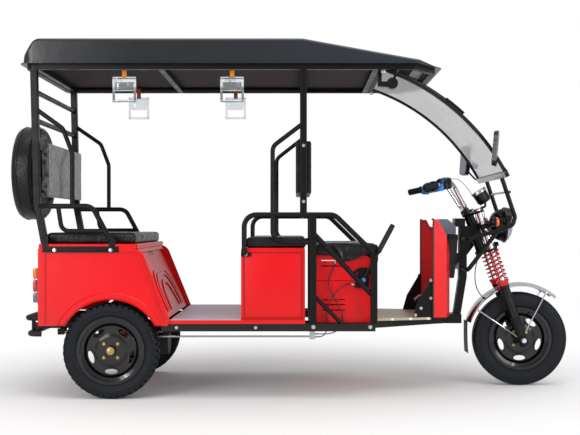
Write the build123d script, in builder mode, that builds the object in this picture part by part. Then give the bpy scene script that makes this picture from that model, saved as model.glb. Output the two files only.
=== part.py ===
from build123d import *
import os
from math import asin, atan2, cos, degrees, hypot, pi, radians, sin, tan

# Electric three-wheeled passenger rickshaw: one steered front wheel, two rear wheels, an open
# tube frame with a hard canopy, two benches that face each other and the driver's seat.
# Millimetres. +X forward, +Y to the vehicle's left, +Z up. The origin is on the ground,
# midway between the front of the front tyre and the back of the spare wheel's cover.
# Names that end in _w are distances from the middle plane, the same on both sides.

os.makedirs("parts", exist_ok=True)

# ---- Driving dimensions ---------------------------------------------------------------

seat_gap = 0.3                # left between a soft or curved piece and what carries it
run_gap = 0.05                # radial clearance of a shaft in its bearing
tube, thin_tube = 25, 22      # round frame tubes, diameter
post = 34                     # square frame post, side
sheet = 3                     # pressed steel sheet, with its paint

# Wheels
front_axle_x, front_tyre_radius, front_tyre_width = 1184, 243, 100
rear_axle_x, rear_tyre_radius, rear_tyre_width = -878, 231, 90
rear_track_w = 434            # middle plane of a rear wheel
rim_seat_radius = 152         # where the tyre's bead sits
rim_flange_radius = 163
rim_well_radius = 134
stud_circle_radius, stud_count = 47, 4
window_circle_radius, window_count = 102, 5
window_rise, window_half = 13, 31
front_axle_radius, rear_axle_radius = 8, 15

# Front fork and steering head
rake = 19                     # degrees, the head leans back
fork_offset = 38              # the legs stand ahead of the steering axis
fork_leg_w = 100
fork_tube_radius, fork_leg_radius = 15, 24
fork_leg_top = 318            # along the fork from the axle
lower_yoke, upper_yoke = 488, 694      # undersides, along the fork from the axle
yoke_thickness = 12
spring_radius, spring_wire, spring_turns = 28, 8, 7
stem_radius, head_tube_radius = 17, 26
mudguard_radius, mudguard_w = 294, 60
mudguard_front, mudguard_rear = 50, 162        # degrees from straight ahead

# Widths that follow the body's
body_w = 485
sill_rail_w = body_w - 27
frame_w = body_w - 26         # middle frame's posts and hoops
post_w = body_w - 45          # rear posts, roof posts and the roof's frame
arm_w = body_w - 9            # armrests
box_w = body_w - 40           # seat box with the batteries
driver_box_w = body_w - 85
roof_w = body_w

# Chassis
chassis_top, rail = 362, 36
main_rail_w = 300
chassis_rear_x, sill_rear_x, chassis_front_x = -1196, -633, 395
neck_x, neck_w = 771, 78

# Body
sill_height = 18
deck_top, deck_height = 746, 22
body_rear_x, body_bottom = -1223, 353
body_front_top_x, body_front_bottom_x = -749, -590
arch_radius, arch_lip, arch_flare = 247, 38, 9
floor_rear_x, floor_front_x = -590, -252
kick_top_x, kick_bottom_x = -768, -608
box_front_x, box_top, lid_height, lid_lip = 57, 726, 20, 1.2
driver_box_rear_x, driver_box_front_x, driver_box_top = 113, 377, 689
driver_box_waist, driver_box_flare, driver_box_tuck = 569, 403, 8

# Frame
rear_post_top_x, rear_post_kink_x, rear_post_foot_x = -1252, -1236, -1197
rear_post_kink_z = 940
arm_top, arm_rail = 927, 808
mid_post_x, front_post_x, roof_post_x = 95, 388, 50
hoop_top = 886

# Roof
roof_edge, roof_top = 1613, 1735
roof_rear_x, roof_shoulder_x, roof_slope_x, roof_nose_x = -1322, -1247, 45, 737
roof_round, roof_draw, roof_sheet = 16, 10, 4
roof_frame_height, roof_frame_width = 25, 28

# Windscreen
screen_w, screen_band, screen_channel = 360, 25, 18
screen_top_x, screen_top_z = 440, 1600
screen_foot_x, screen_foot_z = 1042, 1090

# Leg shield and front floor
shield_w, shield_rear_x, shield_side_x, shield_front_x = 270, 700, 768, 798
shield_top, shield_dip, shield_dip_w = 866, 828, 185
floor_step, front_floor_w = 12, 320
hump_w, hump_top, hump_front_x = 80, 868, 842

# Cushions
rear_cushion_height, front_cushion_height, driver_cushion_height = 54, 52, 59
backrest_thickness = 32

# ---- Planes and small functions -------------------------------------------------------

front_axle = Vector(front_axle_x, 0, front_tyre_radius)
fork_up = Vector(-sin(radians(rake)), 0, cos(radians(rake)))
fork_ahead = Vector(cos(radians(rake)), 0, sin(radians(rake)))
fork_frame = Plane(origin=front_axle - fork_ahead * fork_offset, x_dir=fork_ahead, z_dir=fork_up)


def round_tube(corners, bend, diameter=tube):
    """A round tube, straight between the corners and bent round each of them."""
    with BuildPart() as swept:
        with BuildLine() as route:
            if len(corners) > 2:
                FilletPolyline(*corners, radius=bend)
            else:
                Line(*corners)
        with BuildSketch(Plane(origin=route.line @ 0, z_dir=route.line % 0)):
            Circle(diameter / 2)
        sweep(path=route.line)
    return swept.part


def square_tube(corners, bend, side=post, across=Vector(0, 1, 0)):
    """A square tube, straight between the corners and bent round each of them."""
    with BuildPart() as swept:
        with BuildLine() as route:
            if len(corners) > 2:
                FilletPolyline(*corners, radius=bend)
            else:
                Line(*corners)
        with BuildSketch(Plane(origin=route.line @ 0, x_dir=across, z_dir=route.line % 0)):
            RectangleRounded(side, side, side / 8)
        sweep(path=route.line)
    return swept.part


def block(x, y, z):
    """A block from its three ranges, each (low, high)."""
    with BuildPart() as made:
        with Locations(((x[0] + x[1]) / 2, (y[0] + y[1]) / 2, (z[0] + z[1]) / 2)):
            Box(x[1] - x[0], y[1] - y[0], z[1] - z[0])
    return made.part


def save(part, name):
    """Labels a finished piece and writes its STEP file."""
    part.label = name
    export_step(part, f"parts/{name}.step")


# ---- Chassis --------------------------------------------------------------------------

rail_z = chassis_top - rail / 2
rail_bottom = chassis_top - rail
sill_out_w = sill_rail_w + rail / 2
cross_x = (chassis_rear_x + rail / 2, floor_rear_x + rail, -210, mid_post_x, front_post_x - rail / 2)

# Leaf springs: the main leaf is an arc from eye to eye, the others lie under it
axle_tube_radius = 32
axle_tube_w = main_rail_w + 72
leaf, leaf_width, leaf_count, leaf_sag = 6, 50, 4, 24
eye_rear_x, eye_front_x = rear_axle_x - 270, rear_axle_x + 250
spring_middle_x, spring_half = (eye_rear_x + eye_front_x) / 2, (eye_front_x - eye_rear_x) / 2
spring_arc_radius = (spring_half ** 2 + leaf_sag ** 2) / (2 * leaf_sag)
axle_pad_top = rear_tyre_radius + axle_tube_radius + 5
spring_low_z = axle_pad_top + seat_gap
eye_z = spring_low_z + leaf * (leaf_count - 0.5) + leaf_sag
eye_radius, eye_bolt_radius = 12, 6
cheek = 5
cheek_w_offset = leaf_width / 2 + seat_gap + cheek / 2

with BuildPart() as chassis_frame:
    # Main rails, running in to the neck under the steering head
    add(square_tube([(chassis_rear_x, -main_rail_w, rail_z), (chassis_front_x, -main_rail_w, rail_z),
                     (neck_x - rail / 2, -neck_w + rail / 2, rail_z)], 120, rail))
    # Sill rail along the open side
    add(block((sill_rear_x, chassis_front_x), (-sill_out_w, -sill_out_w + rail),
              (rail_bottom, chassis_top)))
    # Cheeks and pins that hold the spring eyes under the main rail
    for eye_x in (eye_rear_x, eye_front_x):
        for cheek_w in (main_rail_w - cheek_w_offset, main_rail_w + cheek_w_offset):
            with Locations((eye_x, -cheek_w, (rail_bottom + eye_z - 18) / 2)):
                Box(34, cheek, rail_bottom - eye_z + 18)
        with BuildSketch(Plane.XZ.offset(main_rail_w - cheek_w_offset)):
            with Locations((eye_x, eye_z)):
                Circle(eye_bolt_radius)
        extrude(amount=2 * cheek_w_offset)
    mirror(about=Plane.XZ)
    # Cross members
    for index, x in enumerate(cross_x):
        reach = main_rail_w if index == 0 else sill_out_w
        with Locations((x, 0, rail_z)):
            Box(rail, 2 * reach, rail)
    with Locations((neck_x - rail / 2, 0, rail_z)):
        Box(rail, 2 * neck_w, rail)
save(chassis_frame.part, "chassis_frame")

with BuildPart() as sill_strips:
    for side in (-1, 1):
        with Locations(((sill_rear_x + box_front_x) / 2, side * sill_rail_w, chassis_top + sill_height / 2)):
            Box(box_front_x - sill_rear_x, rail, sill_height)
save(sill_strips.part, "sill_strips")

# ---- Floors ---------------------------------------------------------------------------

floor_z = chassis_top + sill_height

with BuildPart() as floor_rear:
    with Locations(((floor_rear_x + floor_front_x) / 2, 0, floor_z + sheet / 2)):
        Box(floor_front_x - floor_rear_x, 2 * sill_out_w, sheet)
    # Folded ribs that stand on the chassis between the sills
    for rib_x in (floor_rear_x + rail, -435, floor_front_x - 25):
        with Locations((rib_x, 0, chassis_top + sill_height / 2)):
            Box(30, 2 * (sill_out_w - rail - 10), sill_height)
save(floor_rear.part, "floor_rear")

with BuildPart() as floor_front:
    with BuildSketch(Plane.XY.offset(chassis_top)) as outline:
        with BuildLine():
            Polyline((chassis_front_x + 2, -front_floor_w), (chassis_front_x + 2, front_floor_w),
                     (690, 250), (690, -250), close=True)
        make_face()
    extrude(amount=floor_step)
    with BuildSketch(Plane.XY.offset(chassis_top)):
        offset(outline.sketch, amount=-sheet)
    extrude(amount=floor_step - sheet, mode=Mode.SUBTRACT)
save(floor_front.part, "floor_front")

# ---- Rear body ------------------------------------------------------------------------

deck_bottom = deck_top - deck_height


def body_side_outline():
    """Side view of the rear body: rounded at the top front corner, cut round the wheel."""
    with BuildSketch(Plane.XZ) as outline:
        with BuildLine():
            FilletPolyline((body_rear_x, body_bottom), (body_rear_x, deck_bottom),
                           (body_front_top_x + 20, deck_bottom), (body_front_bottom_x, floor_z),
                           (body_front_bottom_x - 12, body_bottom), radius=(6, 60, 12), close=False)
            Line((body_front_bottom_x - 12, body_bottom), (body_rear_x, body_bottom))
        make_face()
        with Locations((rear_axle_x, rear_tyre_radius)):
            Circle(arch_radius, mode=Mode.SUBTRACT)
    return outline.sketch


side_face = body_side_outline()
with BuildPart() as rear_side_panel_right:
    with BuildSketch(Plane.XZ.offset(body_w - sheet)):
        add(side_face)
    extrude(amount=sheet)
    # Pressed line inside the edge
    with BuildSketch(Plane.XZ.offset(body_w)):
        offset(side_face, amount=-30)
        offset(side_face, amount=-37, mode=Mode.SUBTRACT)
    extrude(amount=2)
    # Flared lip round the wheel arch
    with BuildSketch(Plane.XZ.offset(body_w)):
        with Locations((rear_axle_x, rear_tyre_radius)):
            Circle(arch_radius + arch_lip)
            Circle(arch_radius, mode=Mode.SUBTRACT)
        with Locations((rear_axle_x, body_bottom - 500)):
            Rectangle(1000, 1000, mode=Mode.SUBTRACT)
    extrude(amount=arch_flare, taper=45)
save(rear_side_panel_right.part, "rear_side_panel_right")

with BuildPart() as rear_side_panel_left:
    mirror(rear_side_panel_right.part, about=Plane.XZ)
save(rear_side_panel_left.part, "rear_side_panel_left")

inner_w = body_w - sheet

with BuildPart() as rear_back_panel:
    with Locations((body_rear_x + sheet / 2, 0, (body_bottom + deck_bottom) / 2)):
        Box(sheet, 2 * inner_w, deck_bottom - body_bottom)
    # Pressed rectangle across the back
    with BuildSketch(Plane.YZ.offset(body_rear_x)):
        with Locations((0, (body_bottom + deck_bottom) / 2)):
            RectangleRounded(560, 250, 30)
            RectangleRounded(546, 236, 24, mode=Mode.SUBTRACT)
    extrude(amount=-3)
save(rear_back_panel.part, "rear_back_panel")

kick_rise = deck_bottom - floor_z
kick_run = kick_bottom_x - kick_top_x
kick_length = hypot(kick_rise, kick_run)
kick_up = Vector(-kick_run, 0, kick_rise).normalized()
kick_plane = Plane(origin=(kick_bottom_x, 0, floor_z), x_dir=(0, 1, 0), z_dir=Vector(0, 1, 0).cross(kick_up))

kick_round, kick_border, kick_border_rise = 90, 28, 12
kick_foot, arch_rib, arch_rise = 30, 18, 6
with BuildPart() as rear_kick_panel:
    with BuildSketch(kick_plane):
        with Locations((0, kick_length / 2)):
            Rectangle(2 * inner_w, kick_length)
    extrude(amount=-sheet)
    # Rounded border that stands proud, and nested arches pressed into the panel
    with BuildSketch(kick_plane):
        with Locations((0, kick_length / 2 - kick_round)):
            RectangleRounded(2 * inner_w, kick_length + 2 * kick_round, kick_round)
            RectangleRounded(2 * (inner_w - kick_border), kick_length + 2 * (kick_round - kick_border),
                             kick_round - kick_border, mode=Mode.SUBTRACT)
        with Locations((0, -kick_length)):
            Rectangle(2 * body_w, 2 * kick_length, mode=Mode.SUBTRACT)
    extrude(amount=kick_border_rise)
    for arch_w, arch_top in ((0.66 * body_w, 250), (0.56 * body_w, 229), (0.37 * body_w, 190)):
        with BuildSketch(kick_plane):
            with Locations((0, arch_top - kick_length)):
                RectangleRounded(2 * arch_w, 2 * kick_length, 0.35 * body_w)
                RectangleRounded(2 * (arch_w - arch_rib), 2 * (kick_length - arch_rib), 0.35 * body_w - arch_rib,
                                 mode=Mode.SUBTRACT)
            with Locations((0, kick_foot - kick_length)):
                Rectangle(2 * body_w, 2 * kick_length, mode=Mode.SUBTRACT)
        extrude(amount=arch_rise)
    with BuildSketch(kick_plane):
        with Locations((0, kick_length - 25)):
            SlotOverall(34, 14)
    extrude(amount=-sheet, mode=Mode.SUBTRACT)
    # The ends are trimmed flat under the deck and on the floor
    split(bisect_by=Plane.XY.offset(deck_bottom), keep=Keep.BOTTOM)
    split(bisect_by=Plane.XY.offset(floor_z + sheet), keep=Keep.TOP)
save(rear_kick_panel.part, "rear_kick_panel")

with BuildPart() as rear_seat_deck:
    with BuildSketch(Plane.XY.offset(deck_bottom)) as deck_plan:
        with Locations(((body_rear_x + body_front_top_x) / 2, 0)):
            RectangleRounded(body_front_top_x - body_rear_x, 2 * body_w, 20)
    extrude(amount=deck_height)
    fillet(rear_seat_deck.edges().group_by(Axis.Z)[-1], 6)
    with BuildSketch(Plane.XY.offset(deck_bottom)):
        offset(deck_plan.sketch, amount=-sheet)
    extrude(amount=deck_height - sheet, mode=Mode.SUBTRACT)
save(rear_seat_deck.part, "rear_seat_deck")

# ---- Seats ----------------------------------------------------------------------------

with BuildPart() as rear_cushion:
    with Locations((-980, 0, deck_top + seat_gap + rear_cushion_height / 2)):
        Box(430, 2 * (post_w - post / 2 - 4), rear_cushion_height)
    fillet(rear_cushion.edges(), 16)
save(rear_cushion.part, "rear_cushion")

box_height = box_top - floor_z
with BuildPart() as battery_box:
    with Locations(((floor_front_x + box_front_x) / 2, 0, floor_z + box_height / 2)):
        Box(box_front_x - floor_front_x, 2 * box_w, box_height)
    fillet(battery_box.edges().filter_by(Axis.Y).group_by(Axis.Z)[-1], 8)
    with Locations(((floor_front_x + box_front_x) / 2, 0, floor_z + (box_height - sheet) / 2)):
        Box(box_front_x - floor_front_x - 2 * sheet, 2 * (box_w - sheet), box_height - sheet,
            mode=Mode.SUBTRACT)
    # Lid that overhangs the sides
    with Locations(((floor_front_x + box_front_x) / 2, 0, box_top - lid_height / 2 - 6)):
        Box(box_front_x - floor_front_x, 2 * (box_w + lid_lip), lid_height - 12)
    with Locations(((floor_front_x + box_front_x) / 2, 0, floor_z + (box_height - sheet) / 2)):
        Box(box_front_x - floor_front_x - 2 * sheet, 2 * (box_w - sheet), box_height - sheet,
            mode=Mode.SUBTRACT)
    # Pressed door line on each side
    for side in (-1, 1):
        with BuildSketch(Plane(origin=((floor_front_x + box_front_x) / 2, side * box_w, floor_z + 155),
                               x_dir=(1, 0, 0), z_dir=(0, side, 0))):
            RectangleRounded(272, 300, 14)
            RectangleRounded(260, 288, 9, mode=Mode.SUBTRACT)
        extrude(amount=2)
save(battery_box.part, "battery_box")

with BuildPart() as battery_pack:
    with Locations((-95, 0, chassis_top + 110)):
        Box(230, 700, 220)
save(battery_pack.part, "battery_pack")

def driver_box_form(wall):
    """The driver's box as a solid, drawn in by a wall: it steps in below a waist and flares at the foot."""
    half = [(0, driver_box_top - wall), (driver_box_w - wall, driver_box_top - wall),
            (driver_box_w - wall, driver_box_waist), (driver_box_w - driver_box_tuck - wall, driver_box_waist - 6),
            (driver_box_w - driver_box_tuck - wall, driver_box_flare), (driver_box_w - wall, driver_box_flare - 16),
            (driver_box_w - wall, chassis_top + wall), (0, chassis_top + wall)]
    with BuildPart() as form:
        with BuildSketch(Plane.YZ.offset(driver_box_rear_x + wall)):
            with BuildLine():
                Polyline(*half, close=True)
            make_face()
            mirror(about=Plane.YZ)
        extrude(amount=driver_box_front_x - driver_box_rear_x - 2 * wall)
    return form.part


gland_w, gland_z = driver_box_w + 5, 668
with BuildPart() as driver_box:
    add(driver_box_form(0))
    fillet(driver_box.edges().filter_by(Axis.Y).group_by(Axis.Z)[-1].sort_by(Axis.X)[-1], 30)
    fillet(driver_box.edges().filter_by(Axis.Y).group_by(Axis.Z)[0].sort_by(Axis.X)[-1], 12)
    add(driver_box_form(sheet), mode=Mode.SUBTRACT)
    # Gland for a brake cable, and louvre slots in each side
    add(block((194, 214), (-gland_w - 5, -driver_box_w + 1), (gland_z, gland_z + 12)))
    with BuildSketch(Plane.XZ) as louvres:
        for slot_z in (665, 637, 473, 448, 422):
            with Locations((195, slot_z)):
                SlotOverall(116, 5)
    extrude(amount=body_w, both=True, mode=Mode.SUBTRACT)
save(driver_box.part, "driver_box")

with BuildPart() as front_cushion:
    with Locations((-84, 0, box_top + seat_gap + front_cushion_height / 2)):
        Box(289, 860, front_cushion_height)
    fillet(front_cushion.edges(), 16)
save(front_cushion.part, "front_cushion")

with BuildPart() as driver_cushion:
    with BuildSketch(Plane.XZ.offset(-410)) as driver_cushion_face:
        with BuildLine():
            base = driver_box_top + seat_gap
            Polyline((driver_box_rear_x, base), (driver_box_rear_x, base + driver_cushion_height),
                     (415, base + driver_cushion_height), (415, base - 35),
                     (driver_box_front_x + seat_gap, base - 35), (driver_box_front_x + seat_gap, base),
                     close=True)
        make_face()
        fillet(driver_cushion_face.vertices().group_by(Axis.Y)[-1], 18)
    extrude(amount=820)
save(driver_cushion.part, "driver_cushion")

# ---- Rear frame: posts, armrests and the bars behind the bench -------------------------

post_head_z = roof_edge - roof_frame_height
post_slope_x = (rear_post_top_x - rear_post_kink_x) / (post_head_z - rear_post_kink_z)


def rear_post_x(z):
    """Middle of the leaning rear post at a height above its kink."""
    return rear_post_kink_x + post_slope_x * (z - rear_post_kink_z)


post_bars = (1485, 1345, 1200, 1000)
bar_back_x = rear_post_x(post_bars[-2]) - 4 - tube / 2
spare_radius, spare_back_x, spare_thickness, spare_z = 243, -1427, 126, 1108
spare_front_x = spare_back_x + spare_thickness

with BuildPart() as rear_frame:
    add(square_tube([(rear_post_foot_x, -post_w, deck_top - 12), (rear_post_kink_x, -post_w, rear_post_kink_z),
                     (rear_post_x(post_head_z + 12), -post_w, post_head_z + 12)], 120))
    # Armrest, from the post forward and down to the deck
    add(round_tube([(rear_post_kink_x, -post_w, arm_top), (-1170, -arm_w, arm_top), (-965, -arm_w, arm_top),
                    (-862, -arm_w, deck_top - 12)], 55))
    # Lower rail under the armrest
    add(round_tube([(-1128, -arm_w, arm_top), (-1110, -arm_w, arm_rail), (-893, -arm_w, arm_rail)], 40, thin_tube))
    # Upright grab handle
    add(round_tube([(rear_post_x(1400), -post_w, 1400), (-1105, -arm_w, 1300), (-1060, -arm_w, 1180),
                    (-1060, -arm_w, arm_top)], 50, thin_tube))
    # The tubes are cut level on the deck and under the roof frame
    split(bisect_by=Plane.XY.offset(deck_top), keep=Keep.TOP)
    split(bisect_by=Plane.XY.offset(post_head_z), keep=Keep.BOTTOM)
    # Flat bar bolted along the top of the body side, with its ears
    add(block((-1200, -836), (-body_w - 4, -body_w), (deck_bottom - 19, deck_top - 12)))
    for foot_x in (-1187, -868):
        add(block((foot_x - 14, foot_x + 14), (-body_w - 4, -body_w), (deck_bottom, deck_top + 40)))
    mirror(about=Plane.XZ)
    # Bars between the posts
    for bar_z in post_bars:
        add(round_tube([(rear_post_x(bar_z) - 4, -post_w, bar_z), (rear_post_x(bar_z) - 4, post_w, bar_z)], 0))
    # Plate and boss that carry the spare wheel
    add(block((bar_back_x - 6, bar_back_x + 3), (-30, 30), (post_bars[-1] - 18, post_bars[-2] + 18)))
    with BuildSketch(Plane.YZ.offset(spare_front_x + seat_gap)):
        with Locations((0, spare_z)):
            Circle(45)
    extrude(amount=bar_back_x - 3 - spare_front_x)
save(rear_frame.part, "rear_frame")

with BuildPart() as rear_backrest:
    with Locations((rear_post_x(post_bars[-1]) - 4 + tube / 2 + seat_gap + backrest_thickness / 2, 0, 1108)):
        Box(backrest_thickness, 770, 265)
    fillet(rear_backrest.edges(), 10)
save(rear_backrest.part, "rear_backrest")

with BuildPart() as spare_wheel_cover:
    with BuildSketch(Plane.XZ) as cover_half:
        with BuildLine():
            Polyline((spare_back_x, spare_z), (spare_back_x, spare_z + spare_radius - 30),
                     (spare_back_x + 40, spare_z + spare_radius), (spare_front_x - 30, spare_z + spare_radius),
                     (spare_front_x, spare_z + spare_radius - 25), (spare_front_x, spare_z), close=True)
        make_face()
        fillet(cover_half.vertices().group_by(Axis.Y)[1:], 20)
    revolve(axis=Axis((0, 0, spare_z), (1, 0, 0)))
save(spare_wheel_cover.part, "spare_wheel_cover")

bumper_end_x = body_rear_x - 3 - seat_gap
with BuildPart() as rear_bumper:
    for rail_x, bumper_z in ((-1285, 308), (-1295, 385)):
        add(round_tube([(bumper_end_x, -410, bumper_z), (rail_x, -410, bumper_z),
                        (rail_x, 410, bumper_z), (bumper_end_x, 410, bumper_z)], 40, 28))
    for side in (-1, 1):
        with Locations((-1290, side * main_rail_w, 346)):
            Box(10, 40, 100)
        add(block((-1290, chassis_rear_x), (side * main_rail_w - 15, side * main_rail_w + 15),
                  (rail_bottom, body_bottom - seat_gap)))
save(rear_bumper.part, "rear_bumper")

with BuildPart() as tail_lamps:
    for side in (-1, 1):
        with BuildSketch(Plane.YZ.offset(body_rear_x)):
            with Locations((side * 425, 545)):
                RectangleRounded(80, 175, 18)
        extrude(amount=-32, taper=8)
save(tail_lamps.part, "tail_lamps")

# ---- Middle frame ---------------------------------------------------------------------

with BuildPart() as mid_frame_right:
    add(square_tube([(mid_post_x, -frame_w, chassis_top), (mid_post_x, -frame_w, hoop_top)], 0))
    add(square_tube([(front_post_x, -frame_w, chassis_top), (front_post_x, -frame_w, 702)], 0))
    add(square_tube([(roof_post_x, -post_w, hoop_top - 8), (roof_post_x, -post_w, post_head_z)], 0, 32))
    # Hoop over the seat ends
    add(round_tube([(-236, -frame_w, 690), (-236, -frame_w, hoop_top), (200, -frame_w, hoop_top),
                    (front_post_x, -frame_w, 702)], 58))
    # Grab tube beside the roof post
    add(round_tube([(roof_post_x, -post_w, 1330), (-99, -frame_w, 1215), (-99, -frame_w, 775),
                    (-40, -frame_w, 752), (mid_post_x, -frame_w, 752)], 45, thin_tube))
    # Diagonal braces in front of the post
    for start, end, size in (((mid_post_x, 800), (front_post_x, 490), 24), ((mid_post_x, 500), (250, 345), 20)):
        add(round_tube([(start[0], -frame_w, start[1]), (end[0], -frame_w, end[1])], 0, size))
    split(bisect_by=Plane.XY.offset(chassis_top), keep=Keep.TOP)
    # Foot bracket on the box
    add(block((-252, -205), (-frame_w, -box_w), (686, 704)))
save(mid_frame_right.part, "mid_frame_right")

with BuildPart() as mid_frame_left:
    mirror(mid_frame_right.part, about=Plane.XZ)
save(mid_frame_left.part, "mid_frame_left")

pad_bottom, pad_top, pad_thickness = 994, 1247, 28
with BuildPart() as mid_crossbars:
    for bar_z in (pad_bottom + 35, pad_top - 35, hoop_top):
        add(round_tube([(roof_post_x, -(post_w - 16.2), bar_z), (roof_post_x, post_w - 16.2, bar_z)], 0, 20))
save(mid_crossbars.part, "mid_crossbars")

with BuildPart() as mid_backrests:
    for direction in (-1, 1):
        with Locations((roof_post_x + direction * (10 + seat_gap + pad_thickness / 2), 0,
                        (pad_bottom + pad_top) / 2)):
            Box(pad_thickness, 780, pad_top - pad_bottom)
    fillet(mid_backrests.edges(), 9)
save(mid_backrests.part, "mid_backrests")

# ---- Roof -----------------------------------------------------------------------------

lip_w = 24


def roof_plan(inset):
    """The roof seen from above, drawn in by an inset."""
    with BuildSketch() as plan:
        with BuildLine():
            Polyline((roof_rear_x, -roof_w), (roof_rear_x, roof_w), (600, roof_w), (roof_nose_x, 300),
                     (roof_nose_x, -300), (600, -roof_w), close=True)
        make_face()
        fillet(plan.vertices().group_by(Axis.X)[0], 70)
        fillet(plan.vertices().group_by(Axis.X)[-1], 50)
        if inset:
            offset(amount=-inset)
    return plan.sketch


def roof_form(inset):
    """The canopy as a solid: side profile cut to the plan, with its long edges rounded."""
    with BuildPart() as form:
        with BuildSketch(Plane.XZ.offset(-roof_w + inset)) as profile:
            with BuildLine():
                Polyline((roof_rear_x + lip_w - 4 + inset, roof_edge), (roof_rear_x + lip_w + 4 + inset, 1660),
                         (roof_shoulder_x + inset / 2, roof_top - inset), (roof_slope_x, roof_top - inset),
                         (293, 1690 - inset), (607, 1634 - inset), (roof_nose_x - 30 - inset, roof_edge + 6),
                         (roof_nose_x - 30 - inset, roof_edge), close=True)
            make_face()
            fillet(profile.vertices().group_by(Axis.Y)[-1].sort_by(Axis.X)[0], 50)
            fillet(profile.vertices().group_by(Axis.Y)[-1].sort_by(Axis.X)[-1], 150)
        extrude(amount=2 * (roof_w - inset))
        with BuildSketch(Plane.XY.offset(roof_edge)):
            add(roof_plan(inset + roof_draw))
        extrude(amount=roof_top - roof_edge + 50, mode=Mode.INTERSECT)
        fillet([edge for edge in form.edges()
                if abs(abs(edge.center().Y) - (roof_w - roof_draw - inset)) < 1 and edge.center().Z > roof_edge + 12
                and abs((edge @ 0).X - (edge @ 1).X) > 20], roof_round - inset)
    return form.part


with BuildPart() as roof_shell:
    add(roof_form(0))
    add(roof_form(roof_sheet), mode=Mode.SUBTRACT)
    # Flange that lies on the roof's frame
    with BuildSketch(Plane.XY.offset(roof_edge)):
        add(roof_plan(0))
        add(roof_plan(roof_w - post_w + roof_frame_width / 2 + 1), mode=Mode.SUBTRACT)
    extrude(amount=roof_sheet)
save(roof_shell.part, "roof_shell")

grip_rail_w, grip_rail_z = 400, roof_edge - 12
with BuildPart() as roof_frame:
    with BuildSketch(Plane.XY.offset(post_head_z)):
        add(roof_plan(roof_w - post_w - roof_frame_width / 2))
        add(roof_plan(roof_w - post_w + roof_frame_width / 2), mode=Mode.SUBTRACT)
    extrude(amount=roof_frame_height)
    for bar_bow_x in (-1240, -640, roof_post_x, 400):
        with Locations((bar_bow_x, 0, roof_edge - roof_frame_height / 2)):
            Box(roof_frame_width, 2 * post_w, roof_frame_height)
    for side in (-1, 1):
        add(round_tube([(-1240, side * grip_rail_w, grip_rail_z), (roof_post_x, side * grip_rail_w, grip_rail_z)],
                       0, 16))
save(roof_frame.part, "roof_frame")

with BuildPart() as hand_grips:
    for grip_x, side in ((-823, -1), (-298, -1), (-876, 1), (-329, 1)):
        # Strap round the grip rail, then the loop
        with BuildSketch(Plane.YZ.offset(grip_x - 11)):
            with Locations((side * grip_rail_w, grip_rail_z)):
                Circle(8 + seat_gap + 3)
            with Locations((side * grip_rail_w, (grip_rail_z + 1555) / 2)):
                Rectangle(6, grip_rail_z - 1555)
            with Locations((side * grip_rail_w, grip_rail_z)):
                Circle(8 + seat_gap, mode=Mode.SUBTRACT)
        extrude(amount=22)
        with BuildSketch(Plane.XZ.offset(-side * grip_rail_w - 6)):
            with Locations((grip_x, 1497)):
                RectangleRounded(115, 124, 24)
                RectangleRounded(91, 76, 14, mode=Mode.SUBTRACT)
        extrude(amount=12)
save(hand_grips.part, "hand_grips")

# ---- Windscreen -----------------------------------------------------------------------

screen_arc = ThreePointArc((screen_top_x, screen_top_z), (805, 1390), (screen_foot_x, screen_foot_z))
wiper_w, spindle_share = 322, 0.085
spindle_at, spindle_along = screen_arc @ spindle_share, screen_arc % spindle_share
spindle_plane = Plane(origin=(spindle_at.X, -wiper_w, spindle_at.Y), x_dir=(0, 1, 0),
                      z_dir=(-spindle_along.Y, 0, spindle_along.X))

with BuildPart() as windscreen:
    with BuildSketch(Plane.XZ.offset(-screen_w)):
        with BuildLine():
            add(screen_arc)
        trace(line_width=sheet)
    extrude(amount=2 * screen_w)
    # Hole for the wiper's spindle
    with BuildSketch(spindle_plane.offset(-10)):
        Circle(8)
    extrude(amount=20, mode=Mode.SUBTRACT)
save(windscreen.part, "windscreen")

screen_out_w = screen_w + screen_band
roof_rail_in_w = post_w - roof_frame_width / 2
foot_direction = screen_arc % 1
with BuildPart() as windscreen_frame:
    # Bands down both edges
    with BuildSketch(Plane.XZ.offset(screen_w)):
        with BuildLine():
            add(screen_arc)
        trace(line_width=14)
    extrude(amount=screen_band)
    mirror(about=Plane.XZ)
    # Channel along the bottom of the screen
    with BuildSketch(Plane.XZ.offset(-screen_out_w)):
        with Locations(Vector(screen_foot_x, screen_foot_z) + foot_direction * (screen_channel / 2)):
            Rectangle(screen_channel, screen_channel, rotation=degrees(atan2(foot_direction.Y, foot_direction.X)))
    extrude(amount=2 * screen_out_w)
    # Top bar under the roof, let into the roof frame at each end
    with BuildSketch(Plane.XZ.offset(-roof_rail_in_w)):
        with Locations((screen_top_x - 13, screen_top_z - 2)):
            Rectangle(24, 22)
    extrude(amount=2 * roof_rail_in_w)
save(windscreen_frame.part, "windscreen_frame")

# ---- Steering head and front structure ------------------------------------------------

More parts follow.
